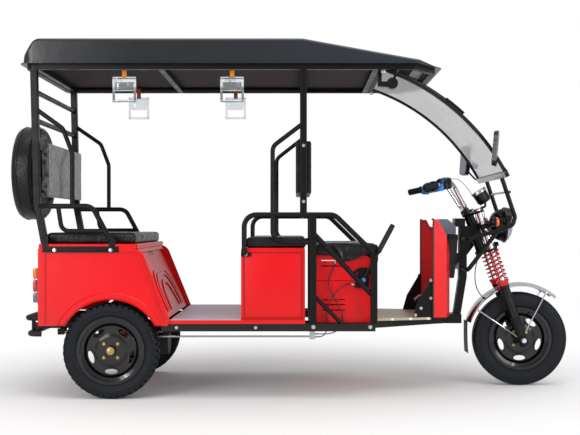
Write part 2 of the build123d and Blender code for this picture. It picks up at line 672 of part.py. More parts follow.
head_bottom, head_top = lower_yoke + yoke_thickness + 2, upper_yoke - 2
down_tube_w = 22
with BuildPart() as head_frame:
    with BuildSketch(Plane.XZ.offset(-down_tube_w)):
        with BuildLine():
            Polyline((868, 832), (925, 832), (945, 770), (908, 690), (908, 566), (876, 374), (838, 374), (866, 560),
                     close=True)
        make_face()
    extrude(amount=2 * down_tube_w)
    # Foot box on the neck, and the bracket behind the head
    add(block((neck_x, 874), (-60, 60), (rail_bottom, chassis_top + floor_step)))
    add(block((hump_front_x + seat_gap, 895), (-48, 48), (828, 872)))
    add(block((shield_front_x, 872), (-28, 28), (640, 690)))
    with BuildPart(fork_frame, mode=Mode.PRIVATE) as head_tube:
        with Locations((0, 0, (head_bottom + head_top) / 2)):
            Cylinder(head_tube_radius, head_top - head_bottom)
    add(head_tube.part)
    with BuildPart(fork_frame, mode=Mode.PRIVATE) as head_bore:
        with Locations((0, 0, (head_bottom + head_top) / 2)):
            Cylinder(stem_radius + run_gap, head_top - head_bottom + 20)
    add(head_bore.part, mode=Mode.SUBTRACT)
save(head_frame.part, "head_frame")

guard_w, guard_tube = 208, 22
guard_anchor_x = 868
screen_foot = Vector(screen_foot_x, 0, screen_foot_z)
screen_down = Vector(foot_direction.X, 0, foot_direction.Y)
with BuildPart() as front_guard:
    add(round_tube([(1052, -guard_w, 1082), (1085, -guard_w, 984), (1121, -guard_w, 878),
                    (1110, -guard_w, 838), (1060, -guard_w, 815), (guard_anchor_x + 16, -guard_w, 766),
                    (guard_anchor_x + 16, -down_tube_w - seat_gap, 766)], 28, guard_tube))
    # Cut level with the underside of the screen's channel
    split(bisect_by=Plane(origin=screen_foot + screen_down * (screen_channel + seat_gap), z_dir=screen_down))
    add(round_tube([(1030, -guard_w, 802), (884, -guard_w, 610), (884, -down_tube_w - seat_gap, 610)],
                   28, guard_tube))
    mirror(about=Plane.XZ)
    # Thin bar across, above the headlamp
    add(round_tube([(1079, -guard_w, 1004), (1079, guard_w, 1004)], 0, 10))
save(front_guard.part, "front_guard")

shield_bottom = chassis_top + floor_step + seat_gap


def shield_form(inset, back):
    """The leg shield as a solid, cut to its plan and to its side view, drawn in by an inset."""
    front, side, half = shield_front_x - inset, shield_side_x - inset, shield_w - inset
    with BuildPart() as form:
        with BuildSketch(Plane.XY.offset(shield_bottom)):
            with BuildLine():
                Polyline((back, -half), (side, -half + 14), (front, -150), (front, 150), (side, half - 14),
                         (back, half), close=True)
            make_face()
        extrude(amount=shield_top - shield_bottom)
        with BuildSketch(Plane.XZ.offset(-shield_w)):
            with BuildLine():
                Polyline((back, shield_bottom - inset), (back, shield_top + inset), (722 - inset, shield_top + inset),
                         (776 - inset, 770), (front, 700), (front, shield_bottom - inset), close=True)
            make_face()
        extrude(amount=2 * shield_w, mode=Mode.INTERSECT)
    return form.part


with BuildPart() as leg_shield:
    add(shield_form(0, shield_rear_x))
    add(shield_form(sheet, shield_rear_x - sheet), mode=Mode.SUBTRACT)
    # The top dips between the two wings, whose corners are round
    with BuildSketch(Plane.YZ.offset(shield_rear_x - 20)) as dip:
        with Locations((0, shield_top)):
            Trapezoid(2 * shield_dip_w + 40, 2 * (shield_top - shield_dip), 110, rotation=180)
        fillet(dip.vertices(), 14)
    extrude(amount=200, mode=Mode.SUBTRACT)
    fillet(leg_shield.edges().filter_by(Axis.X).group_by(Axis.Z)[-1], 1)
save(leg_shield.part, "leg_shield")

with BuildPart() as shield_hump:
    with BuildSketch(Plane.XZ.offset(-hump_w)) as hump_side:
        with BuildLine():
            Polyline((736, shield_dip + seat_gap), (752, hump_top), (798, hump_top), (hump_front_x, 832),
                     (hump_front_x, 790), (760, 790), close=True)
        make_face()
        fillet(hump_side.vertices().group_by(Axis.Y)[-1], 16)
    extrude(amount=2 * hump_w)
    add(shield_form(-seat_gap, shield_rear_x), mode=Mode.SUBTRACT)
save(shield_hump.part, "shield_hump")

# ---- Driver's controls ----------------------------------------------------------------

floor_front_top = chassis_top + floor_step

with BuildPart() as foot_gussets:
    with BuildSketch(Plane.XZ.offset(252)):
        with BuildLine():
            Polyline((600, floor_front_top), (shield_rear_x - 2, floor_front_top), (shield_rear_x - 2, 580),
                     (622, 452), close=True)
        make_face()
    extrude(amount=sheet)
    mirror(about=Plane.XZ)
save(foot_gussets.part, "foot_gussets")

pedal_w = 150
with BuildPart() as brake_pedal:
    add(block((650, 690), (-pedal_w - 14, -pedal_w + 14), (floor_front_top, floor_front_top + 26)))
    add(round_tube([(672, -pedal_w, floor_front_top + 15), (668, -pedal_w, 440), (640, -pedal_w, 462)], 12, 12))
    with BuildSketch(Plane(origin=(642, -pedal_w, 460), x_dir=(0, 1, 0), z_dir=(-0.6, 0, 0.8))):
        RectangleRounded(64, 44, 8)
    extrude(amount=9)
save(brake_pedal.part, "brake_pedal")

lever_w, lever_pivot_x, lever_pivot_z = 424, 340, 571
lever_top_x, lever_top_z = 484, 839
lever_run = Vector(lever_top_x - lever_pivot_x, 0, lever_top_z - lever_pivot_z)
lever_along = lever_run.normalized()
with BuildPart() as parking_brake:
    # Toothed quadrant bolted to the side of the driver's box
    with BuildSketch(Plane.XZ.offset(driver_box_w)):
        with BuildLine():
            Polyline((lever_pivot_x - 45, lever_pivot_z - 40), (lever_pivot_x + 28, lever_pivot_z - 40),
                     (lever_pivot_x + 32, lever_pivot_z + 40), (lever_pivot_x - 20, lever_pivot_z + 52),
                     close=True)
        make_face()
    extrude(amount=5)
    with BuildSketch(Plane.XZ.offset(driver_box_w)):
        with Locations((lever_pivot_x, lever_pivot_z)):
            Circle(11)
    extrude(amount=lever_w - driver_box_w + 6)
    add(round_tube([(lever_pivot_x, -lever_w, lever_pivot_z), (lever_top_x, -lever_w, lever_top_z)], 0, 16))
    grip_foot = Vector(lever_pivot_x, -lever_w, lever_pivot_z) + lever_run * 0.5
    with BuildSketch(Plane(origin=grip_foot, z_dir=lever_along)):
        Circle(12)
    extrude(amount=lever_run.length * 0.5)
    fillet(parking_brake.edges().sort_by(Axis.Z)[-1], 6)
save(parking_brake.part, "parking_brake")

rod_w, rod_z, hanger_front_x = main_rail_w + 62, 290, mid_post_x + 12
with BuildPart() as brake_linkage:
    add(round_tube([(rear_axle_x, -rod_w, rod_z), (mid_post_x - 12, -rod_w, rod_z)], 0, 9))
    # Bell crank under the cross member
    add(block((mid_post_x - 16, hanger_front_x), (-rod_w - 3, -rod_w + 3), (rod_z - 14, rail_bottom)))
    # Arm on the axle
    with BuildSketch(Plane.XZ.offset(rod_w - 4)):
        with Locations((rear_axle_x, rear_tyre_radius)):
            Circle(32 + 9)
        with Locations((rear_axle_x, (rear_tyre_radius + rod_z) / 2)):
            Rectangle(20, rod_z - rear_tyre_radius + 16)
        with Locations((rear_axle_x, rear_tyre_radius)):
            Circle(32 + seat_gap, mode=Mode.SUBTRACT)
    extrude(amount=8)
save(brake_linkage.part, "brake_linkage")

# ---- Rear axle ------------------------------------------------------------------------

with BuildPart() as rear_axle:
    with BuildSketch(Plane.XZ):
        with Locations((rear_axle_x, rear_tyre_radius)):
            Circle(axle_tube_radius)
    extrude(amount=axle_tube_w, both=True)
    with BuildSketch(Plane.XZ):
        with Locations((rear_axle_x, rear_tyre_radius)):
            Circle(rear_axle_radius)
    extrude(amount=rear_track_w + 14, both=True)
    with Locations((rear_axle_x, 0, rear_tyre_radius)):
        Sphere(82)
    # Motor, ahead of the differential
    with BuildSketch(Plane.YZ.offset(rear_axle_x + 40)):
        with Locations((0, rear_tyre_radius)):
            Circle(72)
    extrude(amount=185)
    for side in (-1, 1):
        with Locations((rear_axle_x, side * main_rail_w, axle_pad_top - 12)):
            Box(70, leaf_width, 24)
save(rear_axle.part, "rear_axle")

arc_centre = (spring_middle_x, spring_low_z + leaf * (leaf_count - 0.5) + spring_arc_radius)
half_angle = degrees(asin(spring_half / spring_arc_radius))
with BuildPart() as leaf_springs:
    for index in range(leaf_count):
        reach = half_angle * (1 - 0.2 * index)
        with BuildSketch(Plane.XZ.offset(main_rail_w - leaf_width / 2)):
            with BuildLine():
                CenterArc(arc_centre, spring_arc_radius + leaf * index, 270 - reach, 2 * reach)
            trace(line_width=leaf)
        extrude(amount=leaf_width)
    for eye_x in (eye_rear_x, eye_front_x):
        with BuildSketch(Plane.XZ.offset(main_rail_w - leaf_width / 2)):
            with Locations((eye_x, eye_z)):
                Circle(eye_radius)
        extrude(amount=leaf_width)
        with BuildSketch(Plane.XZ.offset(main_rail_w - leaf_width / 2)):
            with Locations((eye_x, eye_z)):
                Circle(eye_bolt_radius + seat_gap)
        extrude(amount=leaf_width, mode=Mode.SUBTRACT)
    mirror(about=Plane.XZ)
save(leaf_springs.part, "leaf_springs")

# ---- Steering: yokes, fork, mudguard --------------------------------------------------

bar_foot_along = upper_yoke + yoke_thickness + 32
bar_foot_ahead = -15
with BuildPart(fork_frame) as steering_yokes:
    for yoke_at in (lower_yoke, upper_yoke):
        with BuildSketch(fork_frame.offset(yoke_at)):
            Circle(34)
            with Locations((fork_offset, -fork_leg_w), (fork_offset, fork_leg_w)):
                Circle(27)
            make_hull()
            with Locations((fork_offset, -fork_leg_w), (fork_offset, fork_leg_w)):
                Circle(fork_tube_radius + seat_gap, mode=Mode.SUBTRACT)
        extrude(amount=yoke_thickness)
    with Locations((0, 0, (lower_yoke + upper_yoke + yoke_thickness) / 2)):
        Cylinder(stem_radius, upper_yoke + yoke_thickness - lower_yoke)
    # Handlebar clamps and stem nut
    clamp_height = 32 - 11 - seat_gap
    with Locations((bar_foot_ahead, -32, upper_yoke + yoke_thickness + clamp_height / 2),
                   (bar_foot_ahead, 32, upper_yoke + yoke_thickness + clamp_height / 2)):
        Box(30, 22, clamp_height)
save(steering_yokes.part, "steering_yokes")

spring_low = fork_leg_top + 10 + seat_gap + spring_wire / 2
spring_high = lower_yoke - seat_gap - spring_wire / 2
with BuildPart(fork_frame) as front_fork:
    for side in (-1, 1):
        with Locations((fork_offset, side * fork_leg_w, (fork_leg_top + upper_yoke + 26) / 2)):
            Cylinder(fork_tube_radius, upper_yoke + 26 - fork_leg_top)
        with BuildSketch(fork_frame.offset(-34)):
            with Locations((fork_offset, side * fork_leg_w)):
                Circle(20)
        with BuildSketch(fork_frame.offset(60)):
            with Locations((fork_offset, side * fork_leg_w)):
                Circle(fork_leg_radius)
        loft()
        with Locations((fork_offset, side * fork_leg_w, (60 + fork_leg_top) / 2)):
            Cylinder(fork_leg_radius, fork_leg_top - 60)
        # Spring seat
        with Locations((fork_offset, side * fork_leg_w, fork_leg_top + 5)):
            Cylinder(spring_radius + spring_wire / 2, 10)
    # Wheel axle through both legs
    with Locations((fork_offset, 0, 0)):
        Cylinder(front_axle_radius, 2 * (fork_leg_w + fork_leg_radius + 6), rotation=(90, 0, 0))
save(front_fork.part, "front_fork")


def coil_spring(side):
    """Round wire wound about one fork tube between its seat and the lower yoke."""
    with BuildPart() as coil:
        foot = fork_frame.from_local_coords(Vector(fork_offset, side * fork_leg_w, spring_low))
        with BuildLine() as winding:
            Helix((spring_high - spring_low) / spring_turns, spring_high - spring_low, spring_radius,
                  center=foot, direction=fork_up)
        with BuildSketch(Plane(origin=winding.line @ 0, z_dir=winding.line % 0)):
            Circle(spring_wire / 2)
        sweep(path=winding.line, is_frenet=True)
    return coil.part


with BuildPart() as fork_springs:
    add(coil_spring(-1))
    add(coil_spring(1))
save(fork_springs.part, "fork_springs")


def axle_plane(angle):
    """Plane through the front axle whose x runs outward at an angle above straight ahead."""
    outward = Vector(cos(radians(angle)), 0, sin(radians(angle)))
    return Plane(origin=front_axle, x_dir=outward, z_dir=outward.cross(Vector(0, 1, 0)))


wheel_forward_axis = Axis(front_axle, (0, -1, 0))
crown, guard_sheet = 14, 2.5
stay_w = mudguard_w + 4
with BuildPart() as front_mudguard:
    with BuildSketch(axle_plane(mudguard_front)):
        with BuildLine():
            ThreePointArc((mudguard_radius - crown, -mudguard_w), (mudguard_radius, 0),
                          (mudguard_radius - crown, mudguard_w))
        trace(line_width=guard_sheet)
    revolve(axis=wheel_forward_axis, revolution_arc=mudguard_rear - mudguard_front)
    # Stays from the axle to the guard's edges
    for side in (-1, 1):
        with BuildSketch(Plane.XZ.offset(side * (stay_w - 3) if side > 0 else -(stay_w + 8))):
            with Locations((front_axle_x, front_tyre_radius)):
                Circle(20)
                Circle(front_axle_radius + seat_gap, mode=Mode.SUBTRACT)
        extrude(amount=11)
        for angle in (62, 146):
            stay = axle_plane(angle).x_dir
            start, end = front_axle + stay * 18, front_axle + stay * (mudguard_radius - crown - 1)
            add(round_tube([(start.X, side * stay_w, start.Z), (end.X, side * stay_w, end.Z)], 0, 8))
    # Flap hung from the rear edge
    flap_top = front_axle + axle_plane(mudguard_rear).x_dir * (mudguard_radius - 4)
    add(block((flap_top.X - 2, flap_top.X + 2), (-52, 52), (168, flap_top.Z + 2)))
save(front_mudguard.part, "front_mudguard")


# ---- Handlebar and what turns with it -------------------------------------------------

bar_foot = fork_frame.origin + fork_ahead * bar_foot_ahead + fork_up * bar_foot_along
grip_end, grip_start = Vector(648, -345, 1020), Vector(722, -290, 1036)
switch_end, riser_top = Vector(800, -185, 1052), Vector(828, -105, 1036)
bar_diameter = 22


def other_side(point):
    """The same point on the vehicle's left."""
    return Vector(point.X, -point.Y, point.Z)


right_half = [grip_end, grip_start, switch_end, riser_top, Vector(bar_foot.X, -66, bar_foot.Z)]
with BuildPart() as handlebar:
    add(round_tube([*right_half, *(other_side(point) for point in reversed(right_half))], 24, bar_diameter))
save(handlebar.part, "handlebar")

with BuildPart() as handlebar_grips:
    for turn in (lambda point: point, other_side):
        end, start, inner = turn(grip_end), turn(grip_start), turn(switch_end)
        along = (start - end).normalized()
        with BuildSketch(Plane(origin=end, z_dir=along)):
            Circle(17)
            Circle(bar_diameter / 2 + seat_gap, mode=Mode.SUBTRACT)
        extrude(amount=78)
        across = (inner - start).normalized()
        with BuildSketch(Plane(origin=start + across * 22, x_dir=(0, 0, 1), z_dir=across)):
            RectangleRounded(58, 50, 12)
            Circle(bar_diameter / 2 + seat_gap, mode=Mode.SUBTRACT)
        extrude(amount=82)
save(handlebar_grips.part, "handlebar_grips")

dial_facing = Vector(-0.55, 0, 0.835)
with BuildPart() as speedometer:
    with BuildSketch(Plane(origin=Vector(989, 0, 987) - dial_facing * 36, z_dir=dial_facing)):
        Circle(38)
    extrude(amount=58)
    with BuildSketch(Plane(origin=Vector(989, 0, 987) + dial_facing * 22, z_dir=dial_facing)):
        Circle(43)
    extrude(amount=14)
    # Bracket down to the upper yoke
    with BuildPart(fork_frame, mode=Mode.PRIVATE) as dial_bracket:
        with Locations((71, 0, upper_yoke + yoke_thickness + 3)):
            Box(82, 40, 6)
        with Locations((100, 0, upper_yoke + yoke_thickness + 19)):
            Box(24, 40, 38)
    add(dial_bracket.part)
save(speedometer.part, "speedometer")

lamp_x, lamp_z, lamp_radius = 1110, 837, 93
lens_radius, lens_rise = 87, 40
lens_curve = (lens_radius ** 2 + lens_rise ** 2) / (2 * lens_rise)
lens_angle = degrees(asin(lens_radius / lens_curve))
ear_along = 620
with BuildPart() as headlamp:
    with BuildSketch(Plane.XZ) as lamp_half:
        with BuildLine():
            Line((lamp_x - 78, lamp_z), (lamp_x - 78, lamp_z + 40))
            ThreePointArc((lamp_x - 78, lamp_z + 40), (lamp_x - 54, lamp_z + 70),
                          (lamp_x - 14, lamp_z + lamp_radius - 6))
            Polyline((lamp_x - 14, lamp_z + lamp_radius - 6), (lamp_x - 14, lamp_z + lamp_radius),
                     (lamp_x, lamp_z + lamp_radius), (lamp_x, lamp_z + lens_radius))
            CenterArc((lamp_x + lens_rise - lens_curve, lamp_z), lens_curve, 0, lens_angle)
            Line((lamp_x + lens_rise, lamp_z), (lamp_x - 78, lamp_z))
        make_face()
    revolve(axis=Axis((0, 0, lamp_z), (1, 0, 0)))
    # Ears clamped round the fork tubes, with pivot bolts and the indicators' stalks
    ear_height = fork_frame.origin + fork_ahead * fork_offset + fork_up * ear_along
    for side in (-1, 1):
        with BuildSketch(fork_frame.offset(ear_along - 14)):
            with Locations((fork_offset, side * fork_leg_w)):
                Circle(fork_tube_radius + 6)
            with Locations((fork_offset + 57, side * 88.5)):
                Rectangle(90, 5)
            with Locations((fork_offset, side * fork_leg_w)):
                Circle(fork_tube_radius + seat_gap, mode=Mode.SUBTRACT)
        extrude(amount=28)
        add(block((lamp_x - 50, lamp_x - 34), tuple(sorted((side * 56, side * 90))), (lamp_z + 8, lamp_z + 24)))
        add(round_tube([(ear_height.X + 14, side * (fork_leg_w + 12), ear_height.Z + 4),
                        (ear_height.X + 40, side * 150, ear_height.Z + 20)], 0, 12))
        with Locations((ear_height.X + 46, side * 154, ear_height.Z + 24)):
            Sphere(26)
save(headlamp.part, "headlamp")

horn_x, horn_z = 1053, 716
with BuildPart() as horn:
    with BuildSketch(Plane.YZ.offset(horn_x)):
        with Locations((0, horn_z)):
            Circle(34)
    extrude(amount=24)
    with BuildPart(fork_frame, mode=Mode.PRIVATE) as horn_bracket:
        with Locations((64, 0, lower_yoke + yoke_thickness + 3)):
            Box(26, 24, 6)
    add(horn_bracket.part)
save(horn.part, "horn")

# ---- Wheels ---------------------------------------------------------------------------

bead_share, rim_sheet = 0.36, 3.2


def wheel_plane(x, y, z):
    """Plane with x outward from the wheel's middle and y along the axle."""
    return Plane(origin=(x, y, z), x_dir=(1, 0, 0), z_dir=(0, 0, 1))


def make_tyre(x, y, radius, width):
    """A tyre as one ring: crown, shoulders and sidewalls outside, open to the rim inside."""
    bead = rim_seat_radius + seat_gap
    clear = rim_flange_radius + 2
    shoulder = radius - 7
    with BuildPart() as ring:
        with BuildSketch(wheel_plane(x, y, radius)):
            with BuildLine():
                ThreePointArc((shoulder, -0.43 * width), (radius, 0), (shoulder, 0.43 * width))
                ThreePointArc((shoulder, 0.43 * width), ((clear + shoulder) / 2, 0.5 * width),
                              (clear, bead_share * width))
                Polyline((clear, bead_share * width), (bead, bead_share * width), (bead, 0.2 * width))
                ThreePointArc((bead, 0.2 * width), (radius - 17, 0), (bead, -0.2 * width))
                Polyline((bead, -0.2 * width), (bead, -bead_share * width), (clear, -bead_share * width))
                ThreePointArc((clear, -bead_share * width), ((clear + shoulder) / 2, -0.5 * width),
                              (shoulder, -0.43 * width))
            make_face()
        revolve(axis=Axis((x, y, radius), (0, 1, 0)))
    return ring.part


def make_rim(x, y, radius, width, out, bore, hub_in, hub_out, drum_radius):
    """A pressed wheel: rolled rim, dished disc with windows, hub, nuts and brake drum."""
    lip = bead_share * width + seat_gap + rim_sheet / 2
    axle = Axis((x, y, radius), (0, 1, 0))
    with BuildPart() as rim:
        with BuildSketch(wheel_plane(x, y, radius)):
            with BuildLine():
                Polyline((rim_flange_radius, -lip), (rim_seat_radius - rim_sheet / 2, -lip),
                         (rim_seat_radius - rim_sheet / 2, -0.17 * width), (rim_well_radius, -0.12 * width),
                         (rim_well_radius, 0.12 * width), (rim_seat_radius - rim_sheet / 2, 0.17 * width),
                         (rim_seat_radius - rim_sheet / 2, lip), (rim_flange_radius, lip))
            trace(line_width=rim_sheet)
        revolve(axis=axle)
        with BuildSketch(wheel_plane(x, y, radius)):
            with BuildLine():
                Polyline((bore + 4, out * 16), (66, out * 16), (82, out * 9), (118, out * 9), (rim_well_radius, 0))
            trace(line_width=4)
        revolve(axis=axle)
        # Pressed lips round the windows, then the windows themselves
        with BuildSketch(Plane.XZ.offset(-y - out * 9)):
            with Locations((x, radius)):
                with PolarLocations(window_circle_radius - 2, window_count, start_angle=-90):
                    Ellipse(window_rise + 6, window_half + 6)
        extrude(amount=-out * 6)
        with BuildSketch(Plane.XZ.offset(-y)):
            with Locations((x, radius)):
                with PolarLocations(window_circle_radius, window_count, start_angle=-90):
                    Ellipse(window_rise, window_half)
        extrude(amount=30, both=True, mode=Mode.SUBTRACT)
        # Hub, drum, nuts and the axle's bore
        with BuildSketch(wheel_plane(x, y, radius)):
            with BuildLine():
                Polyline((0, out * hub_out), (22, out * hub_out), (26, out * 16), (30, out * 12), (30, -out * 14),
                         (drum_radius, -out * 16), (drum_radius, -out * hub_in), (0, -out * hub_in), close=True)
            make_face()
        revolve(axis=axle)
        with BuildSketch(Plane.XZ.offset(-y - out * 16)):
            with Locations((x, radius)):
                with PolarLocations(stud_circle_radius, stud_count, start_angle=45):
                    RegularPolygon(9, 6)
        extrude(amount=-out * 12)
        with BuildSketch(Plane.XZ.offset(-y)):
            with Locations((x, radius)):
                Circle(bore)
        extrude(amount=hub_in + hub_out + 5, both=True, mode=Mode.SUBTRACT)
    return rim.part


save(make_tyre(front_axle_x, 0, front_tyre_radius, front_tyre_width), "front_tyre")
save(make_rim(front_axle_x, 0, front_tyre_radius, front_tyre_width, -1, front_axle_radius + run_gap,
              56, 56, 62), "front_rim")
for side_name, out in (("right", -1), ("left", 1)):
    y = out * rear_track_w
    save(make_tyre(rear_axle_x, y, rear_tyre_radius, rear_tyre_width), f"rear_tyre_{side_name}")
    save(make_rim(rear_axle_x, y, rear_tyre_radius, rear_tyre_width, out, rear_axle_radius + run_gap,
                  54, 34, 84), f"rear_rim_{side_name}")

# ---- Wiper and mirrors ----------------------------------------------------------------


def screen_point(share, outward):
    """Side-view point at a share of the screen's length, and so far outward of its middle."""
    at, along = screen_arc @ share, screen_arc % share
    return Vector(at.X - along.Y * outward, at.Y + along.X * outward)


def screen_strip(start, end, outward, thickness, width):
    """A strip that follows the screen between two shares of its length."""
    with BuildPart() as strip:
        with BuildSketch(Plane.XZ.offset(wiper_w - width / 2)):
            with BuildLine():
                ThreePointArc(*(screen_point(share, outward) for share in (start, (start + end) / 2, end)))
            trace(line_width=thickness)
        extrude(amount=width)
    return strip.part


motor_middle = screen_point(spindle_share, -44)
with BuildPart() as wiper:
    add(screen_strip(spindle_share - 0.01, 0.5, 22, 6, 12))
    add(screen_strip(0.42, 0.56, 18, 24, 20))
    add(screen_strip(0.36, 0.7, 4.5, 6, 10))
    with BuildSketch(spindle_plane.offset(-30)):
        Circle(6)
    extrude(amount=30 + 22)
    with BuildSketch(Plane.XZ.offset(wiper_w - 26)):
        with Locations(motor_middle):
            Circle(28)
    extrude(amount=52)
    # Bracket up to the bar at the top of the screen
    with BuildSketch(Plane.XZ.offset(wiper_w - 18)):
        with BuildLine():
            Polyline((motor_middle.X, motor_middle.Y - 20), (screen_top_x - 22, motor_middle.Y - 14),
                     (screen_top_x - 22, screen_top_z - 13), (screen_top_x - 4, screen_top_z - 13),
                     (screen_top_x - 4, motor_middle.Y + 10), (motor_middle.X, motor_middle.Y + 10), close=True)
        make_face()
    extrude(amount=36)
save(wiper.part, "wiper")

mirror_w, mirror_x, mirror_z = 452, 985, 1205
with BuildPart() as mirrors:
    with BuildSketch(Plane(origin=(mirror_x, -mirror_w, mirror_z), x_dir=(0.25, 0.968, 0),
                           z_dir=(-0.968, 0.25, 0.08))):
        RectangleRounded(104, 172, 26)
    extrude(amount=20, taper=12)
    add(round_tube([(1034, -screen_out_w - seat_gap, 1095), (1034, -mirror_w + 8, 1095),
                    (mirror_x, -mirror_w + 8, 1150)], 14, 10))
    mirror(about=Plane.XZ)
save(mirrors.part, "mirrors")

# ---- Cables ---------------------------------------------------------------------------


def cable(name, diameter, points):
    """A cable as straight runs joined by the largest arcs that its runs allow."""
    points = [Vector(*point) for point in points]
    radii = []
    with BuildPart() as made:
        with BuildLine() as route:
            start = points[0]
            for before, corner, after in zip(points, points[1:], points[2:]):
                into, away = (corner - before).normalized(), (after - corner).normalized()
                trim = 0.45 * min((corner - before).length, (after - corner).length)
                radii.append(trim / tan(into.get_angle(away) * pi / 360))
                Line(start, corner - into * trim)
                start = corner + away * trim
                TangentArc(corner - into * trim, start, tangent=into)
            Line(start, points[-1])
        with BuildSketch(Plane(origin=route.line @ 0, z_dir=route.line % 0)):
            Circle(diameter / 2)
        sweep(path=route.line)
    print(name, "bend radii", [round(radius, 1) for radius in radii],
          "length", round(sum(edge.length for edge in route.edges()), 1))
    save(made.part, name)


cable("handlebar_loom", 3, [
    (782.4, -208.7, 1067.4), (802.5, -181.6, 1071.5), (838.5, -151.6, 1073), (872, -122, 1052), (904, -100, 1020),
    (934, -84, 980), (980, -68, 934), (996, -50, 893), (1000, -28, 850), (lamp_x - 78 - seat_gap, -28, 850)])
cable("meter_cable", 5, [
    (960.9, 0, 681.9), (968.7, 0, 659.2), (958, 0, 617), (953, 0, 572), (957, 0, 527), (970.9, 0, 484.2),
    (988.1, 0, 464.7)])
cable("parking_brake_cable_a", 5, [
    (204, -gland_w, gland_z - seat_gap), (204, -gland_w, 640), (180, -408, 604), (168, -409, 556), (184, -409, 504),
    (220, -409, 446), (243, -409, 396), (238, -404, 350), (212, -394, 318), (176, -378, 304), (137, -rod_w, 302),
    (hanger_front_x + seat_gap, -rod_w, 302)])
cable("parking_brake_cable_b", 5, [
    (298.5, -403.7, 544.9), (271.5, -403.7, 552.2), (236, -411, 536), (202, -417, 502), (174, -418, 460),
    (160, -417, 412), (164, -412, 366), (166, -400, 328), (152, -378, 298), (133, -rod_w, 288),
    (hanger_front_x + seat_gap, -rod_w, 288)])
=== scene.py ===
from math import cos, hypot, pi, radians, sin

import bpy
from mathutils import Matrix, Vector, noise


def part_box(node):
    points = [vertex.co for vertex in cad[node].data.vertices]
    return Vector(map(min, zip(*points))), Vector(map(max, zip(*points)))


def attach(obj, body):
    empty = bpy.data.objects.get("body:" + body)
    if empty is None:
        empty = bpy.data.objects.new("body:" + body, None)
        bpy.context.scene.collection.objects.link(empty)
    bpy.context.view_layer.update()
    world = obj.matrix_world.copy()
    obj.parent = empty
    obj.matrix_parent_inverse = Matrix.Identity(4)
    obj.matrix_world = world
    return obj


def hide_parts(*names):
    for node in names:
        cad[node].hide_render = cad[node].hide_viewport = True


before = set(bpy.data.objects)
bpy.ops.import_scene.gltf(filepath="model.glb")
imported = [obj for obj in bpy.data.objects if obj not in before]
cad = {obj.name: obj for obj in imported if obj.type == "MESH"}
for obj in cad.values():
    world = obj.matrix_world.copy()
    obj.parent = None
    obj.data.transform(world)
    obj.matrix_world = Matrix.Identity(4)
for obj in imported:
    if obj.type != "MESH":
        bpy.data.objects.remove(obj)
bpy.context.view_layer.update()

# ---- Studio -------------------------------------------------------------------------
# The camera stands square to the vehicle's right side, level, a little above the seats.
# A pale floor, one wide soft light overhead, two soft fills, and two strips that draw highlights on tubes.

scene = bpy.context.scene
scene.view_settings.view_transform = "Standard"
camera = bpy.data.objects.new("camera", bpy.data.cameras.new("camera"))
scene.collection.objects.link(camera)
camera.location, camera.rotation_euler = (0.023, -5.4, 0.832), (pi / 2, 0, 0)
camera.data.lens, camera.data.sensor_width = 63.7, 36
# The view is 580 wide, and its middle lies 8 to the side and 8.5 up from the lens's own
camera.data.shift_x, camera.data.shift_y = -8 / 580, 8.5 / 580
scene.camera = camera


def rgb(code):
    """An sRGB hex colour as the linear values that a shader takes."""
    channels = (int(code[at:at + 2], 16) / 255 for at in (1, 3, 5))
    return (*(c / 12.92 if c <= 0.04045 else ((c + 0.055) / 1.055) ** 2.4 for c in channels), 1)


def add_node(tree, kind, inputs=None, **settings):
    """Adds a node with its settings; each named input takes a value or another node's output."""
    made = tree.nodes.new("ShaderNode" + kind)
    for name, value in settings.items():
        setattr(made, name, value)
    for name, value in (inputs or {}).items():
        if isinstance(value, bpy.types.NodeSocket):
            tree.links.new(value, made.inputs[name])
        else:
            made.inputs[name].default_value = value
    return made


world = bpy.data.worlds.new("studio")
scene.world = world
world.use_nodes = True
sky = world.node_tree
rays = add_node(sky, "LightPath")
seen = add_node(sky, "Math", {0: rays.outputs["Is Camera Ray"], 1: rays.outputs["Is Transmission Ray"]},
                operation="MAXIMUM")
# Gloss sees the room at about two thirds of white, so that black enamel stays black
gloss = add_node(sky, "Math", {0: rays.outputs["Is Glossy Ray"], 1: 0.2}, operation="MULTIPLY")
seen = add_node(sky, "Math", {0: seen.outputs[0], 1: gloss.outputs[0]}, operation="MAXIMUM")
strength = add_node(sky, "Mix", {0: seen.outputs[0], 2: 0.55, 3: 1.0})
sky.nodes["Background"].inputs["Color"].default_value = (1, 1, 1, 1)
sky.links.new(strength.outputs[0], sky.nodes["Background"].inputs["Strength"])

for light_name, at, aim, width, depth, power in (
        ("overhead", (0.3, -0.6, 4.6), (0, 0, 0.5), 4.5, 3.5, 95),
        ("fill_left", (-3.4, -4.2, 2.6), (0, 0, 0.8), 2.5, 2.5, 75),
        ("fill_right", (3.9, -3.4, 1.9), (0.3, 0, 0.7), 2.2, 2.2, 60),
        ("strip_left", (-2.6, -4.2, 1.1), (-0.6, -0.4, 0.6), 0.22, 2.4, 26),
        ("strip_right", (2.9, -4.4, 1.3), (0.6, -0.4, 0.7), 0.22, 2.4, 22)):
    lamp = bpy.data.objects.new(light_name, bpy.data.lights.new(light_name, "AREA"))
    scene.collection.objects.link(lamp)
    lamp.data.shape, lamp.data.size, lamp.data.size_y, lamp.data.energy = "RECTANGLE", width, depth, power
    lamp.location = at
    lamp.rotation_euler = (Vector(aim) - Vector(at)).to_track_quat("-Z", "Y").to_euler()

